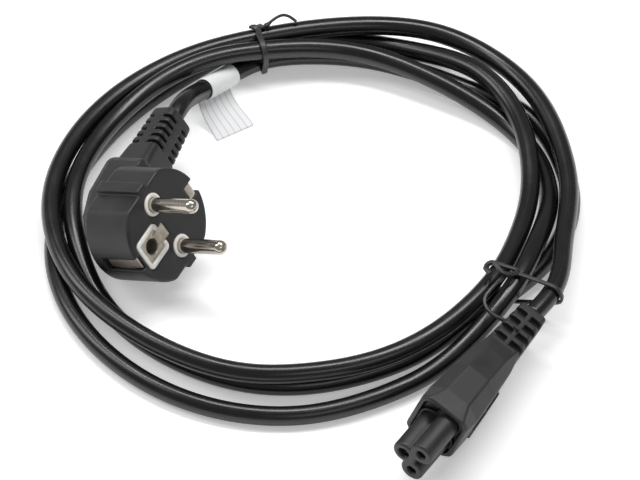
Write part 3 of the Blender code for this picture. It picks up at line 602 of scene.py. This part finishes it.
# %% Depth of the plug's body
FACE_RADIUS, RIM_DEPTH = 18.25, 19.0
SIDE_FLAT, GUIDE_REACH, GUIDE_WIDTH = 15.8, 17.6, 4.2
PIN_PITCH, EARTH_OFFSET = 19.0, 9.4
COLLAR_RADIUS, FRAME_HALF, EARTH_HALF = 3.8, 5.7, 4.1
CLIP_RECESS_WIDTH, CLIP_FLOOR, CLIP_LENGTH = 5.2, 15.9, 14.5
LOBE = np.array((                             # Y, half width, lowest Z
    (-20.5, 9.6, -34.0), (-17.5, 10.5, -34.0), (-4.0, 10.5, -32.5), (6.0, 10.5, -28.0),
    (15.0, 9.0, -21.5)))
LOBE_TOP, LOBE_CORNER = -17.2, 4.0
NECK = np.array((                             # distance along the neck, half width, half height
    (8.0, 8.2, 8.2), (22.0, 7.0, 6.9), (30.5, 6.3, 5.9), (42.5, 6.0, 5.0), (46.4, 5.8, 4.7)))
NECK_FROM, NECK_CORNER = 4.0, 2.4
SLOT_ROWS, SLOT_START, SLOT_PITCH = 5, 30.4, 2.95
SLOT_WIDTH, SLOT_DEPTH, SLOT_SPINE = 1.2, 1.6, 3.2
RIM_RADIUS, JOIN_FILLET, SLOT_FILLET = 0.7, 0.9, 0.35


def neck_depth(x, along, w):
    """A box whose half width and half height taper along it, less the slots round its edges."""
    half_x = np.interp(along, NECK[:, 0], NECK[:, 1])
    half_w = np.interp(along, NECK[:, 0], NECK[:, 2])
    neck = soft_max(np.abs(x) - half_x, np.abs(w) - half_w, NECK_CORNER)
    neck = soft_max(neck, between(along, NECK_FROM, NECK_REACH), 0.9)
    row = np.clip(np.round((along - SLOT_START) / SLOT_PITCH), 0, SLOT_ROWS - 1)
    in_row = np.abs(along - SLOT_START - row * SLOT_PITCH) - SLOT_WIDTH / 2
    on_sides = np.maximum(half_x - SLOT_DEPTH - np.abs(x), SLOT_SPINE / 2 - np.abs(w))
    on_faces = np.maximum(half_w - SLOT_DEPTH - np.abs(w), SLOT_SPINE / 2 - np.abs(x))
    return neck, soft_max(in_row, np.minimum(on_sides, on_faces), SLOT_FILLET)


def plug_depth(x, y, z):
    """Disc with flats and ribs, back lobe and neck joined; slots and pockets cut out."""
    disc = rounded(round_bar(x, y, FACE_RADIUS) + RIM_RADIUS,
                   between(z, -RIM_DEPTH, 0) + RIM_RADIUS, RIM_RADIUS)
    rib = np.maximum(np.abs(x) - GUIDE_REACH, np.abs(y) - GUIDE_WIDTH / 2)
    disc = soft_max(disc, soft_min(np.abs(x) - SIDE_FLAT, rib, 0.5), RIM_RADIUS)

    half = np.interp(y, LOBE[:, 0], LOBE[:, 1])
    lobe = soft_max(np.abs(x) - half, np.interp(y, LOBE[:, 0], LOBE[:, 2]) - z, LOBE_CORNER)
    lobe = soft_max(soft_max(lobe, z - LOBE_TOP, 1.0), between(y, LOBE[0, 0], LOBE[-1, 0]), 2.0)

    lean_y, lean_z = math.cos(NECK_LEAN), math.sin(NECK_LEAN)
    along = -y * lean_y - (z + NECK_DEPTH) * lean_z
    neck, slots = neck_depth(x, along, (z + NECK_DEPTH) * lean_y - y * lean_z)
    body = soft_min(soft_min(disc, lobe, JOIN_FILLET), neck, JOIN_FILLET)
    body = soft_max(body, -slots, SLOT_FILLET)

    # Recesses for both side contacts, a seat for the hook of one, and hollows for the earth
    # socket's strip, the pins' collars and the frame.
    recess = block(x, np.abs(y), z, (0, CLIP_FLOOR + 5, 0),
                   (CLIP_RECESS_WIDTH, 10, 2 * CLIP_LENGTH + 1), 0.3)
    seat = block(x, y, z, (0, -18.3, 0), (CLIP_RECESS_WIDTH, 10.2, 1.9), 0.2)
    tab = block(x, y, z, (0, 3.6, 0), (5.3, 5.0, 1.4), 0.2)
    collars = np.maximum(round_bar(np.abs(x) - PIN_PITCH / 2, y, COLLAR_RADIUS + 0.05), -3.0 - z)
    pocket = block(x, y, z, (0, EARTH_OFFSET, 0),
                   (2 * FRAME_HALF + 0.1, 2 * FRAME_HALF + 0.1, 6.0), 1.8)
    hollows = np.minimum(np.minimum(recess, seat), np.minimum(np.minimum(collars, pocket), tab))
    return soft_max(body, -hollows, 0.25)


# %% The plug's body
moulded("plug_overmould", plug_depth, (-19.4, -52.5, -37.0), (19.4, 19.4, 0.9), BODY_CELL,
        plug_place, moulded_pvc, ["plug_body"])

# %% [markdown]
# ## The pins' carrier
#
# A hard white moulding holds the two pins and the earth socket before the black PVC goes round
# it. What shows is a collar round each pin and a rounded square frame, open where the earth
# metal comes through. It is nylon, a little yellow and slightly see-through at its edges.

# %% Moulded nylon
white_nylon, tree, shader = new_material("nylon_moulded", Base_Color=srgb("#e6e4de"), IOR=1.53,
                                         Subsurface_Weight=0.12, Subsurface_Scale=0.001)
surface_marks(tree, shader, in_body(tree), 0.25, 0.006, (0.32, 0.5), ("#f4f3f0", "#e8e5dd"), 3.0)

# %% The carrier
def carrier_depth(x, y, z):
    """Two collars with their bores, and a square frame with one open side."""
    from_pin = np.hypot(np.abs(x) - PIN_PITCH / 2, y)
    collars = soft_max(from_pin - COLLAR_RADIUS + 0.03, 2.42 - from_pin, 0.12)
    inset = FRAME_HALF - 1.9
    outer = rounded(np.abs(x) - inset, np.abs(y - EARTH_OFFSET) - inset, 1.85)
    inner = block(x, y, z, (0, EARTH_OFFSET, 0),
                  (2 * EARTH_HALF + 0.1, 2 * EARTH_HALF + 0.1, 20), 0.7)
    frame_wall = soft_max(outer, -inner, 0.2)
    opening = block(x, y, z, (0, EARTH_OFFSET - FRAME_HALF, 0), (5.3, 4.4, 4.0), 0.1)
    frame_wall = soft_max(frame_wall, -opening, 0.15)
    return soft_max(np.minimum(collars, frame_wall), between(z, -2.9, 0.4), 0.5)


moulded("pin_carrier", carrier_depth, (-13.6, -4.2, -3.2), (13.6, 15.6, 0.7), FINE_CELL,
        plug_place, white_nylon, ["plug_insert"])

# %% [markdown]
# ## Pins
#
# The pins are turned from brass bar and nickel-plated, with a rounded end. A profile turned
# about its axis gives them; the lathe's fine rings and the scratches of many insertions follow
# the UV map, which holds the distance along the pin and round it.

# %% Nickel plate on turned brass
nickel_plate, tree, shader = new_material("nickel_plated_brass", Base_Color=srgb("#c9c3b8"),
                                          Metallic=1.0)
way = on_surface(tree)
# Rings 0.15 mm apart, coarser than a lathe's own 0.05 mm so that they show; scratches 8 mm long.
rings = streaky(tree, way, 0.00015, 0.02, 2.0)
scratches = streaky(tree, way, 0.008, 0.00025, 3.0)
mixed = blend(tree, 0.5, rings, scratches)
set_shine(tree, shader, mixed, (0.12, 0.28))
set_relief(tree, shader, mixed, 0.00001, 0.6)

# %% The pins
def revolved(name, radius, height, centre, sides=64):
    """A profile (radius, height) turned about an upright axis at `centre` in the plug's frame.
    Its two ends are closed by a face each."""
    turn = np.linspace(0, 2 * math.pi, sides, endpoint=False)
    x = centre[0] + radius[:, None] * np.cos(turn)
    y = centre[1] + radius[:, None] * np.sin(turn)
    points = np.stack([x, y, np.broadcast_to(height[:, None], x.shape)], axis=2)
    profile = np.stack([radius, height], axis=1)
    spans = (travelled(profile), np.linspace(0, 2 * math.pi * radius.max(), sides + 1))
    return grid_mesh(name, set_in(plug_place, points), spans)


PIN_RADIUS, PIN_LENGTH, TIP = 2.4, 19.0, 2.2
SHAFT_STEPS = 12
bend = np.linspace(0, math.pi / 2 - 0.06, 14)
pin_radius = np.concatenate([[2.2, PIN_RADIUS], np.full(SHAFT_STEPS, PIN_RADIUS),
                             PIN_RADIUS * np.cos(bend) ** 0.85])
pin_height = np.concatenate([[-3.0, -2.8], np.linspace(-2, PIN_LENGTH - TIP - 0.1, SHAFT_STEPS),
                             PIN_LENGTH - TIP + TIP * np.sin(bend)])
for side_of, name, node in ((1, "pin_one", "pin_live"), (-1, "pin_two", "pin_neutral")):
    mesh = revolved(name, pin_radius, pin_height, (side_of * PIN_PITCH / 2, 0.0))
    piece(name, mesh, nickel_plate, [node])

# %% [markdown]
# ## Earth contacts
#
# The earth socket is plated metal behind the frame, with a round hole for the socket's earth
# pin and a strip that comes out over the face. Two springy strips lie in the side recesses; the
# inner one hooks over the face. Strips are a rounded rectangle carried along a bent line.

# %% Plated strip
plated_strip, tree, shader = new_material("tin_plated_strip", Base_Color=srgb("#d6cfc4"),
                                          Metallic=1.0)
# Rolled and tumbled strip: a soft even sheen with cloudy stains a few millimetres across.
surface_marks(tree, shader, in_body(tree), 0.35, 0.004, (0.34, 0.52), ("#ddd6cc", "#bdb2a2"), 2.5)

# %% The earth socket
def socket_depth(x, y, z):
    """A square block with a countersunk bore, and the strip that leaves it at the face."""
    v = y - EARTH_OFFSET
    plate = block(x, v, z, (0, 0, -6.4), (2 * EARTH_HALF - 0.1, 2 * EARTH_HALF - 0.1, 12.2), 0.3)
    strip = block(x, v, z, (0, -5.7, -0.36), (5.0, 4.9, 0.6), 0.15)
    ramp = block(x, v, z, (0, -3.6, -1.2), (5.0, 2.4, 2.2), 0.2)
    body = soft_min(soft_min(plate, strip, 0.3), ramp, 0.3)
    bore = np.maximum(np.hypot(x, v) - 2.6 - 0.25 * np.clip(z + 0.9, 0, 0.9), -11.5 - z)
    return soft_max(body, -bore, 0.15)


moulded("earth_contact", socket_depth, (-4.5, 0.9, -12.9), (4.5, 13.9, 0.3), FINE_CELL,
        plug_place, plated_strip, ["earth_socket"])

# %% The side contacts
STRIP_SIDES, STRIP_STEP, SQUARENESS = 28, 0.3, 0.45


def strip_along(name, path, width, thickness, width_way, place=None):
    """A flat strip carried along a path: a squarish ellipse, whose cosine and sine are drawn out
    towards the corners by a power below one. `width_way` is where its width points."""
    w, h = across(path, np.broadcast_to(width_way, path.shape))
    turn = np.linspace(0, 2 * math.pi, STRIP_SIDES, endpoint=False)
    cosine, sine = (np.sign(c) * np.abs(c) ** SQUARENESS for c in (np.cos(turn), np.sin(turn)))
    ring = (width / 2 * cosine[None, :, None] * w[:, None]
            + thickness / 2 * sine[None, :, None] * h[:, None])
    points = path[:, None] + ring
    if place:
        points = set_in(place, points)
    around = np.linspace(0, 2 * (width + thickness), STRIP_SIDES + 1)
    return grid_mesh(name, points, (travelled(path), around))


CONTACT_WIDTH, CONTACT_THICKNESS = 4.6, 0.6
bend = np.radians(np.linspace(0, 90, 8))
quarter = np.stack([0 * bend, -15.5 - 1.0 * np.sin(bend), -1.42 + 1.0 * np.cos(bend)], axis=1)
hook = np.concatenate([[(0, -13.45, -0.6), (0, -14.4, -0.44)], quarter,
                       [(0, -16.75, -5.0), (0, -16.9, -8.0), (0, -16.6, -12.0), (0, -16.4, -14.2)]])
outer = np.array([(0, 16.4, -0.7), (0, 16.6, -2.5), (0, 16.9, -6.0), (0, 16.8, -10.0),
                  (0, 16.4, -14.2)])
for name, line, node in (("side_contact_inner", hook, "earth_clip_inner"),
                         ("side_contact_outer", outer, "earth_clip_outer")):
    mesh = strip_along(name, batten(line, STRIP_STEP), CONTACT_WIDTH, CONTACT_THICKNESS,
                       np.array((1.0, 0.0, 0.0)), plug_place)
    piece(name, mesh, plated_strip, [node])

# %% [markdown]
# ## The connector's shell
#
# The shell is bevelled on its upper and lower edges, widest at the front and tapered to a neck
# with slots. Its widths are set at seven depths and joined straight, so that the flats meet in
# soft creases, as on the real mould. A small ledge with notches runs along one side of it.

# %% Depth of the shell
ROOT = -15.0
SHELL = np.array((                            # depth behind the nose's root, half X, half Y, bevel
    (0.0, 10.9, 8.6, 2.2), (1.2, 11.1, 9.0, 2.6), (7.0, 11.1, 9.2, 4.8), (19.5, 10.3, 8.2, 4.2),
    (31.0, 8.0, 7.1, 3.2), (36.0, 6.6, 6.0, 1.6), (55.5, 4.9, 4.8, 0.7)))
GROOVE_ROWS, GROOVE_START, GROOVE_PITCH = 4, 38.6, 4.2
GROOVE_WIDTH, GROOVE_DEPTH, GROOVE_SPINE = 2.3, 2.1, 1.6
LEDGE_FROM, LEDGE_TO, LEDGE_OUT = 8.0, 26.0, 0.7
NOTCH_PITCH, NOTCH_WIDTH = 9.0, 1.0
HOLLOW_DEPTH, POCKET_DEPTH = 2.2, 4.5
LIVE_PITCH, EARTH_RISE, LOBE_RADIUS = 10.0, 5.0, 3.9
HOLES = ((-LIVE_PITCH / 2, -EARTH_RISE / 2, 1.5), (LIVE_PITCH / 2, -EARTH_RISE / 2, 1.5),
         (0.0, EARTH_RISE / 2, 1.8))


def lobes(x, y, grown=0.0):
    """Outline of the nose: three round lobes joined by a web, with hollows between them."""
    made = np.maximum(np.abs(x) - 3.1, np.abs(y + 0.3) - 1.7)
    for cx, cy, _ in HOLES:
        made = soft_min(made, np.hypot(x - cx, y - cy) - LOBE_RADIUS, 0.8)
    return made - grown


def shell_depth(x, y, z):
    """A bevelled box tapered along its length, its hollow round the nose and its slots."""
    depth = ROOT - z
    half_x, half_y, bevel = (np.interp(depth, SHELL[:, 0], SHELL[:, i]) for i in (1, 2, 3))
    body = soft_max(np.abs(x) - half_x, np.abs(y) - half_y, 0.8)
    slant = (np.abs(x) - half_x + np.abs(y) - half_y + bevel) / math.sqrt(2)
    body = soft_max(body, slant, 0.35)
    ledge = np.maximum(between(-y, 0.0, half_y + LEDGE_OUT), between(x, -half_x + bevel, -0.4))
    ledge = soft_max(ledge, between(depth, LEDGE_FROM, LEDGE_TO), 0.4)
    along = depth - LEDGE_FROM
    notch = np.abs(along - NOTCH_PITCH * np.round(along / NOTCH_PITCH)) - NOTCH_WIDTH / 2
    ledge = soft_max(ledge, -np.maximum(notch, half_y + 0.1 + y), 0.2)
    body = soft_min(body, ledge, 0.2)
    body = soft_max(body, between(depth, 0.0, SHELL[-1, 0]), 0.7)
    hollow = np.maximum(rounded(np.abs(x) - 6.9, np.abs(y) - 4.6, 2.7), depth - HOLLOW_DEPTH)
    pocket = np.maximum(lobes(x, y, 0.15), depth - POCKET_DEPTH)
    body = soft_max(body, -np.minimum(hollow, pocket), 0.3)
    row = np.clip(np.round((depth - GROOVE_START) / GROOVE_PITCH), 0, GROOVE_ROWS - 1)
    in_row = np.abs(depth - GROOVE_START - row * GROOVE_PITCH) - GROOVE_WIDTH / 2
    slots = np.maximum(in_row, half_x - GROOVE_DEPTH - np.abs(x))
    slots = np.maximum(slots, GROOVE_SPINE / 2 - np.abs(y))
    return soft_max(body, -slots, 0.2)


moulded("connector_shell", shell_depth, (-11.8, -10.6, -71.2), (11.8, 10.6, -14.4), BODY_CELL,
        connector_place, moulded_pvc, ["connector_body"])

# %% [markdown]
# ## The connector's nose
#
# The nose goes into the appliance: three lobes, one for each contact, with a chamfer round each
# hole and a low step where it leaves the shell.

# %% The nose
def nose_depth(x, y, z):
    """The lobes' outline with rounded front edges, a wider foot, and three chamfered holes."""
    body = soft_max(lobes(x, y), between(z, ROOT - 4.2, 0), 0.9)
    foot = soft_max(lobes(x, y, 0.9), between(z, ROOT - 2.1, ROOT - 1.3), 0.3)
    body = soft_min(body, foot, 0.3)
    for cx, cy, radius in HOLES:
        funnel = 0.5 * np.clip(z + 0.7, 0, 0.7)
        hole = np.maximum(np.hypot(x - cx, y - cy) - radius - funnel, -12.0 - z)
        body = soft_max(body, -hole, 0.2)
    return body


moulded("connector_lobes", nose_depth, (-9.8, -7.3, -19.6), (9.8, 7.3, 0.4), NOSE_CELL,
        connector_place, moulded_pvc, ["connector_nose"])

# %% [markdown]
# ## Sleeves in the holes
#
# The three contact sleeves are plain thin tubes deep in the holes, and the solids' own shape is
# right for them. Only their plating is added, a little darker and browner than the pins'.

# %% The sleeves
sleeve_plate, tree, shader = new_material("nickel_plated_sleeve", Base_Color=srgb("#b9ae9a"),
                                          Metallic=1.0)
surface_marks(tree, shader, in_body(tree), 0.3, 0.004, (0.2, 0.4), ("#b9ae9a", "#8f8573"), 1.5)
for node in ("contact_live", "contact_neutral", "contact_earth"):
    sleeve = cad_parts[node]
    sleeve.data.materials.clear()
    sleeve.data.materials.append(sleeve_plate)

# %% [markdown]
# ## The paper flag
#
# A smooth white paper strip is stuck round the cord and to itself, so that it stands off as a
# flag. It goes nearly once round the cord, leaves it underneath and comes down to the floor in
# a slow curve. Faint ruled lines run along it.

# %% Coated paper
white_paper, tree, shader = new_material("coated_paper", Base_Color=srgb("#f2f3f4"), IOR=1.5,
                                         Subsurface_Weight=0.05, Subsurface_Scale=0.0005)
way = on_surface(tree)
surface_marks(tree, shader, way, 0.3, 0.01, (0.42, 0.6))
# Ruled lines 2.4 mm apart and 0.5 mm wide on the flag alone: they start 24 mm along the strip.
apart = add_node(tree, "SeparateXYZ", {0: way})
ruled = add_node(tree, "Math", {0: apart.outputs[1], 1: 0.0012}, operation="PINGPONG")
line = add_node(tree, "MapRange", {"Value": ruled.outputs[0], 1: 0.0003, 2: 0.00015})
on_flag = add_node(tree, "MapRange", {"Value": apart.outputs[0], 1: 0.0238, 2: 0.0244})
inked = add_node(tree, "Math", {0: line.outputs[0], 1: on_flag.outputs[0]}, operation="MULTIPLY")
colour = add_node(tree, "Mix", {0: inked.outputs[0], 6: srgb("#e8e9ea"), 7: srgb("#cbccce")},
                  data_type="RGBA")
tree.links.new(colour.outputs[2], shader.inputs["Base Color"])

# %% The flag
PAPER, PAPER_GAP = 0.3, 0.2
FLAG_WIDTH, FLAG_AT, FLAG_LEAVES, FLAG_SHIFT = 14.5, 120.0, math.radians(-126.0), 3.2
FLAG_END = COIL + np.array(((-30.2, 31.9, 0.45), (-18.3, 38.9, 0.45)))
FLAG_COLUMNS, WRAP_ANGLE, WAVE = 25, math.radians(345), 0.35
NEAR_PLUG = 60                                # points of the centre line searched for the flag

near = centre_line[:NEAR_PLUG] - COIL
bearings = np.degrees(np.arctan2(near[:, 1], near[:, 0]))
reach_of = travelled(centre_line)
middle = reach_of[np.argmin(np.abs(bearings - FLAG_AT))]


def flag_points(round_steps=72, flag_steps=36):
    """Rows run round the cord and then down the flag; columns run along the cord. The wrap is a
    circle across the cord. The flag is a cubic that starts along the wrap's tangent and ends
    level on the floor, a slow wave added where nothing holds it."""
    share = np.linspace(0, 1, FLAG_COLUMNS)
    at = middle + (share - 0.5) * FLAG_WIDTH
    centre = points_at(centre_line, reach_of, at)
    way = unit(points_at(centre_line, reach_of, at + SHEATH_STEP / 2) - centre)
    inward = unit(np.stack([way[:, 1], -way[:, 0], 0 * share], axis=1))
    upward = np.cross(inward, way)
    upward *= np.sign(upward[:, 2])[:, None]
    radius = LOW + PAPER_GAP + PAPER / 2
    angle = np.linspace(FLAG_LEAVES - WRAP_ANGLE, FLAG_LEAVES, round_steps)[:, None, None]
    wrap = centre + radius * (np.cos(angle) * inward + np.sin(angle) * upward)
    root = wrap[-1]
    end = FLAG_END[0] + share[:, None] * (FLAG_END[1] - FLAG_END[0])
    reach = np.linalg.norm(end - root, axis=1)[:, None]
    leave = (-math.sin(FLAG_LEAVES) * inward + math.cos(FLAG_LEAVES) * upward) * reach
    arrive = unit((end - root) * (1, 1, 0)) * reach
    t = np.linspace(0, 1, flag_steps + 1)[1:, None, None]
    flag = (root * (2 * t**3 - 3 * t**2 + 1) + leave * (t**3 - 2 * t**2 + t)
            + end * (3 * t**2 - 2 * t**3) + arrive * (t**3 - t**2))
    flag = flag - way * FLAG_SHIFT * 4 * t * (1 - t) ** 2
    wave = WAVE * np.sin(math.pi * t) * np.sin(math.pi * share[None, :, None])
    return np.concatenate([wrap, flag + wave * UP])


flag = flag_points()
spans = (travelled(flag[:, FLAG_COLUMNS // 2]), np.linspace(0, FLAG_WIDTH, FLAG_COLUMNS))
mesh = grid_mesh("paper_flag", flag, spans, tube=False)
paper_flag = piece("paper_flag", mesh, white_paper, ["label"])
wall = paper_flag.modifiers.new("paper", "SOLIDIFY")
wall.thickness = PAPER * MM
wall.offset = 0.0
print("paper strip", round(spans[0][-1], 1), "x", FLAG_WIDTH, "mm laid flat")

# %% [markdown]
# ## The wire ties
#
# Each tie is a soft wire in a flat plastic strip, pulled round the turns by hand and twisted.
# It follows the tightest line round the turns: the outline of their circles. The strip is
# carried along that line with its flat side to the cord.

# %% Plastic on wire
tie_plastic, tree, shader = new_material("polyethylene_strip", Base_Color=srgb("#2c2b2d"), IOR=1.52)
surface_marks(tree, shader, on_surface(tree), 0.3, 0.01, (0.34, 0.5), ("#262527", "#353437"), 3.0)

# %% The tie's line
TIE_THICKNESS, TIE_GAP, TIE_PITCH = 1.0, 0.35, 1.6
RING_STEP, EDGE_TURN = 3.0, 4.0               # mm between the loop's points, and to turn on edge
ARC_POINTS = 12


def outline_order(points):
    """Corners of the outline round some points, in order, by keeping only left turns."""
    points = sorted(points)

    def chain(run):
        kept = []
        for point in run:
            while len(kept) > 1 and np.cross(np.subtract(kept[-1], kept[-2]),
                                             np.subtract(point, kept[-1])) <= 1e-9:
                kept.pop()
            kept.append(point)
        return kept[:-1]

    return chain(points) + chain(points[::-1])


def line_round(centres, reach):
    """The taut line round circles of radius `reach`: arcs about the outline's corners, joined
    by straight runs."""
    corners = np.array(outline_order(centres))
    ahead = np.roll(corners, -1, axis=0) - corners
    angle = np.unwrap(np.arctan2(ahead[:, 1], ahead[:, 0])) - math.pi / 2
    turn_to = np.append(angle, angle[0] + 2 * math.pi)
    line = []
    for i, corner in enumerate(corners):
        start = turn_to[i - 1] if i else turn_to[-2] - 2 * math.pi
        arc = np.linspace(start, turn_to[i], ARC_POINTS)
        line.append(corner + reach * np.stack([np.cos(arc), np.sin(arc)], axis=1))
    return np.concatenate(line)


def tie_path(bearing, tail, stub, edge_way):
    """The line of one tie in the shared frame (its short end, the loop, then its long end), and
    the way of its width at each point."""
    from_coil = fine_line - COIL
    angle = np.degrees(np.unwrap(np.arctan2(from_coil[:, 1], from_coil[:, 0])))
    angle += STATIONS[0, 0] - angle[0]
    passing = np.arange(bearing, angle[-1], -360.0)
    passing = passing[passing < angle[0]]
    rows = [np.argmin(np.abs(angle - turn)) for turn in passing]
    met = from_coil[rows]
    centres = [tuple(c) for c in np.stack([np.hypot(met[:, 0], met[:, 1]), met[:, 2]], axis=1)]
    loop = line_round(centres, LOW + TIE_GAP + TIE_THICKNESS / 2)
    out = level_way(bearing)
    aside = np.array((out[1], -out[0], 0.0))
    knot = np.array((tail[0] @ out, tail[0][2]))
    loop = np.roll(loop, -np.argmin(np.linalg.norm(loop - knot, axis=1)), axis=0)
    drift = TIE_PITCH * (np.arange(len(loop)) / (len(loop) - 1) - 0.5)
    ring = COIL + loop[:, :1] * out + loop[:, 1:] * UP + drift[:, None] * aside
    whole = np.concatenate([COIL + stub[::-1], even_steps(ring, RING_STEP), COIL + tail])
    path = batten(whole, STRIP_STEP)
    # The strip lies flat on the cord and turns on edge within 4 mm of the knot.
    reach = travelled(path)
    on_edge = np.clip((reach - reach[-1] + travelled(tail)[-1]) / EDGE_TURN, 0, 1)[:, None]
    return path, (1 - on_edge) * (aside + 0.25 * out) + on_edge * edge_way


# Points of each tie's two free ends, from the coil's centre.
TOP_TAIL = np.array((
    (-15.3, 69.2, 15.0), (-13.4, 70.0, 16.0), (-11.1, 72.0, 16.5), (-8.5, 73.3, 16.5),
    (-6.3, 72.8, 16.0), (-4.4, 71.8, 15.0)))
TOP_STUB = np.array(((-18.5, 69.4, 15.0), (-19.4, 69.9, 14.6)))
SIDE_TAIL = np.array((
    (60.5, -44.0, 17.0), (57.3, -48.3, 17.0), (55.6, -51.7, 16.2), (56.6, -55.2, 15.8),
    (59.5, -58.7, 16.2), (63.1, -62.2, 17.5), (66.0, -66.6, 19.0)))
SIDE_STUB = np.array((
    (61.5, -41.8, 18.5), (57.9, -37.9, 19.0), (56.0, -39.3, 18.4), (57.6, -41.6, 17.8)))
for name, node, bearing, width, tail, stub, edge_way in (
        ("tie_upper", "tie_top", 103.5, 1.9, TOP_TAIL, TOP_STUB, np.array((0.0, -0.67, 0.74))),
        ("tie_lower", "tie_side", -30.5, 1.35, SIDE_TAIL, SIDE_STUB, UP)):
    path, width_way = tie_path(bearing, tail, stub, edge_way)
    mesh = strip_along(name, path, width, TIE_THICKNESS, width_way)
    piece(name, mesh, tie_plastic, [node])

# %% [markdown]

# %% [markdown]
# ## Floor and light
#
# A flat white floor and large soft lights, as in a product photograph. The floor gives a faint
# light of its own, like a lit table, which lifts the shadows. The world is kept below the
# lights, so that the black keeps its depth while the floor stays white.

# %% Floor
floor_material, _, _ = new_material("white_sweep", Base_Color=srgb("#f6f6f6"), Roughness=0.95,
                                    Emission_Color=srgb("#ffffff"), Emission_Strength=0.3)
edge = 1500.0
mesh = to_mesh("floor", [(-edge, -edge, 0), (edge, -edge, 0), (edge, edge, 0), (-edge, edge, 0)],
               [(0, 1, 2, 3)], closed=False)
mesh.materials.append(floor_material)
floor = placed("floor", mesh)

# %% Light
world = bpy.data.worlds.new("studio")
bpy.context.scene.world = world
world.use_nodes = True
background = world.node_tree.nodes["Background"]
background.inputs["Color"].default_value = (1, 1, 1, 1)
background.inputs["Strength"].default_value = 0.26


def soft_box(name, place, size, power):
    """A rectangular area light at a place in metres, facing the coil; its power in watts."""
    data = bpy.data.lights.new(name, "AREA")
    data.shape = "RECTANGLE"
    data.size, data.size_y = size
    data.energy = power
    lamp = placed(name, data)
    lamp.location = place
    lamp.rotation_euler = (Vector(place) * -1).to_track_quat("-Z", "Y").to_euler()


soft_box("top_box", (0.1, 0.35, 1.1), (1.2, 0.24), 10.5)
soft_box("left_box", (-0.9, 0.2, 0.9), (0.35, 1.0), 5.5)
soft_box("front_box", (0.5, -0.9, 1.0), (0.9, 0.3), 1.8)
bpy.context.scene.view_settings.view_transform = "Standard"
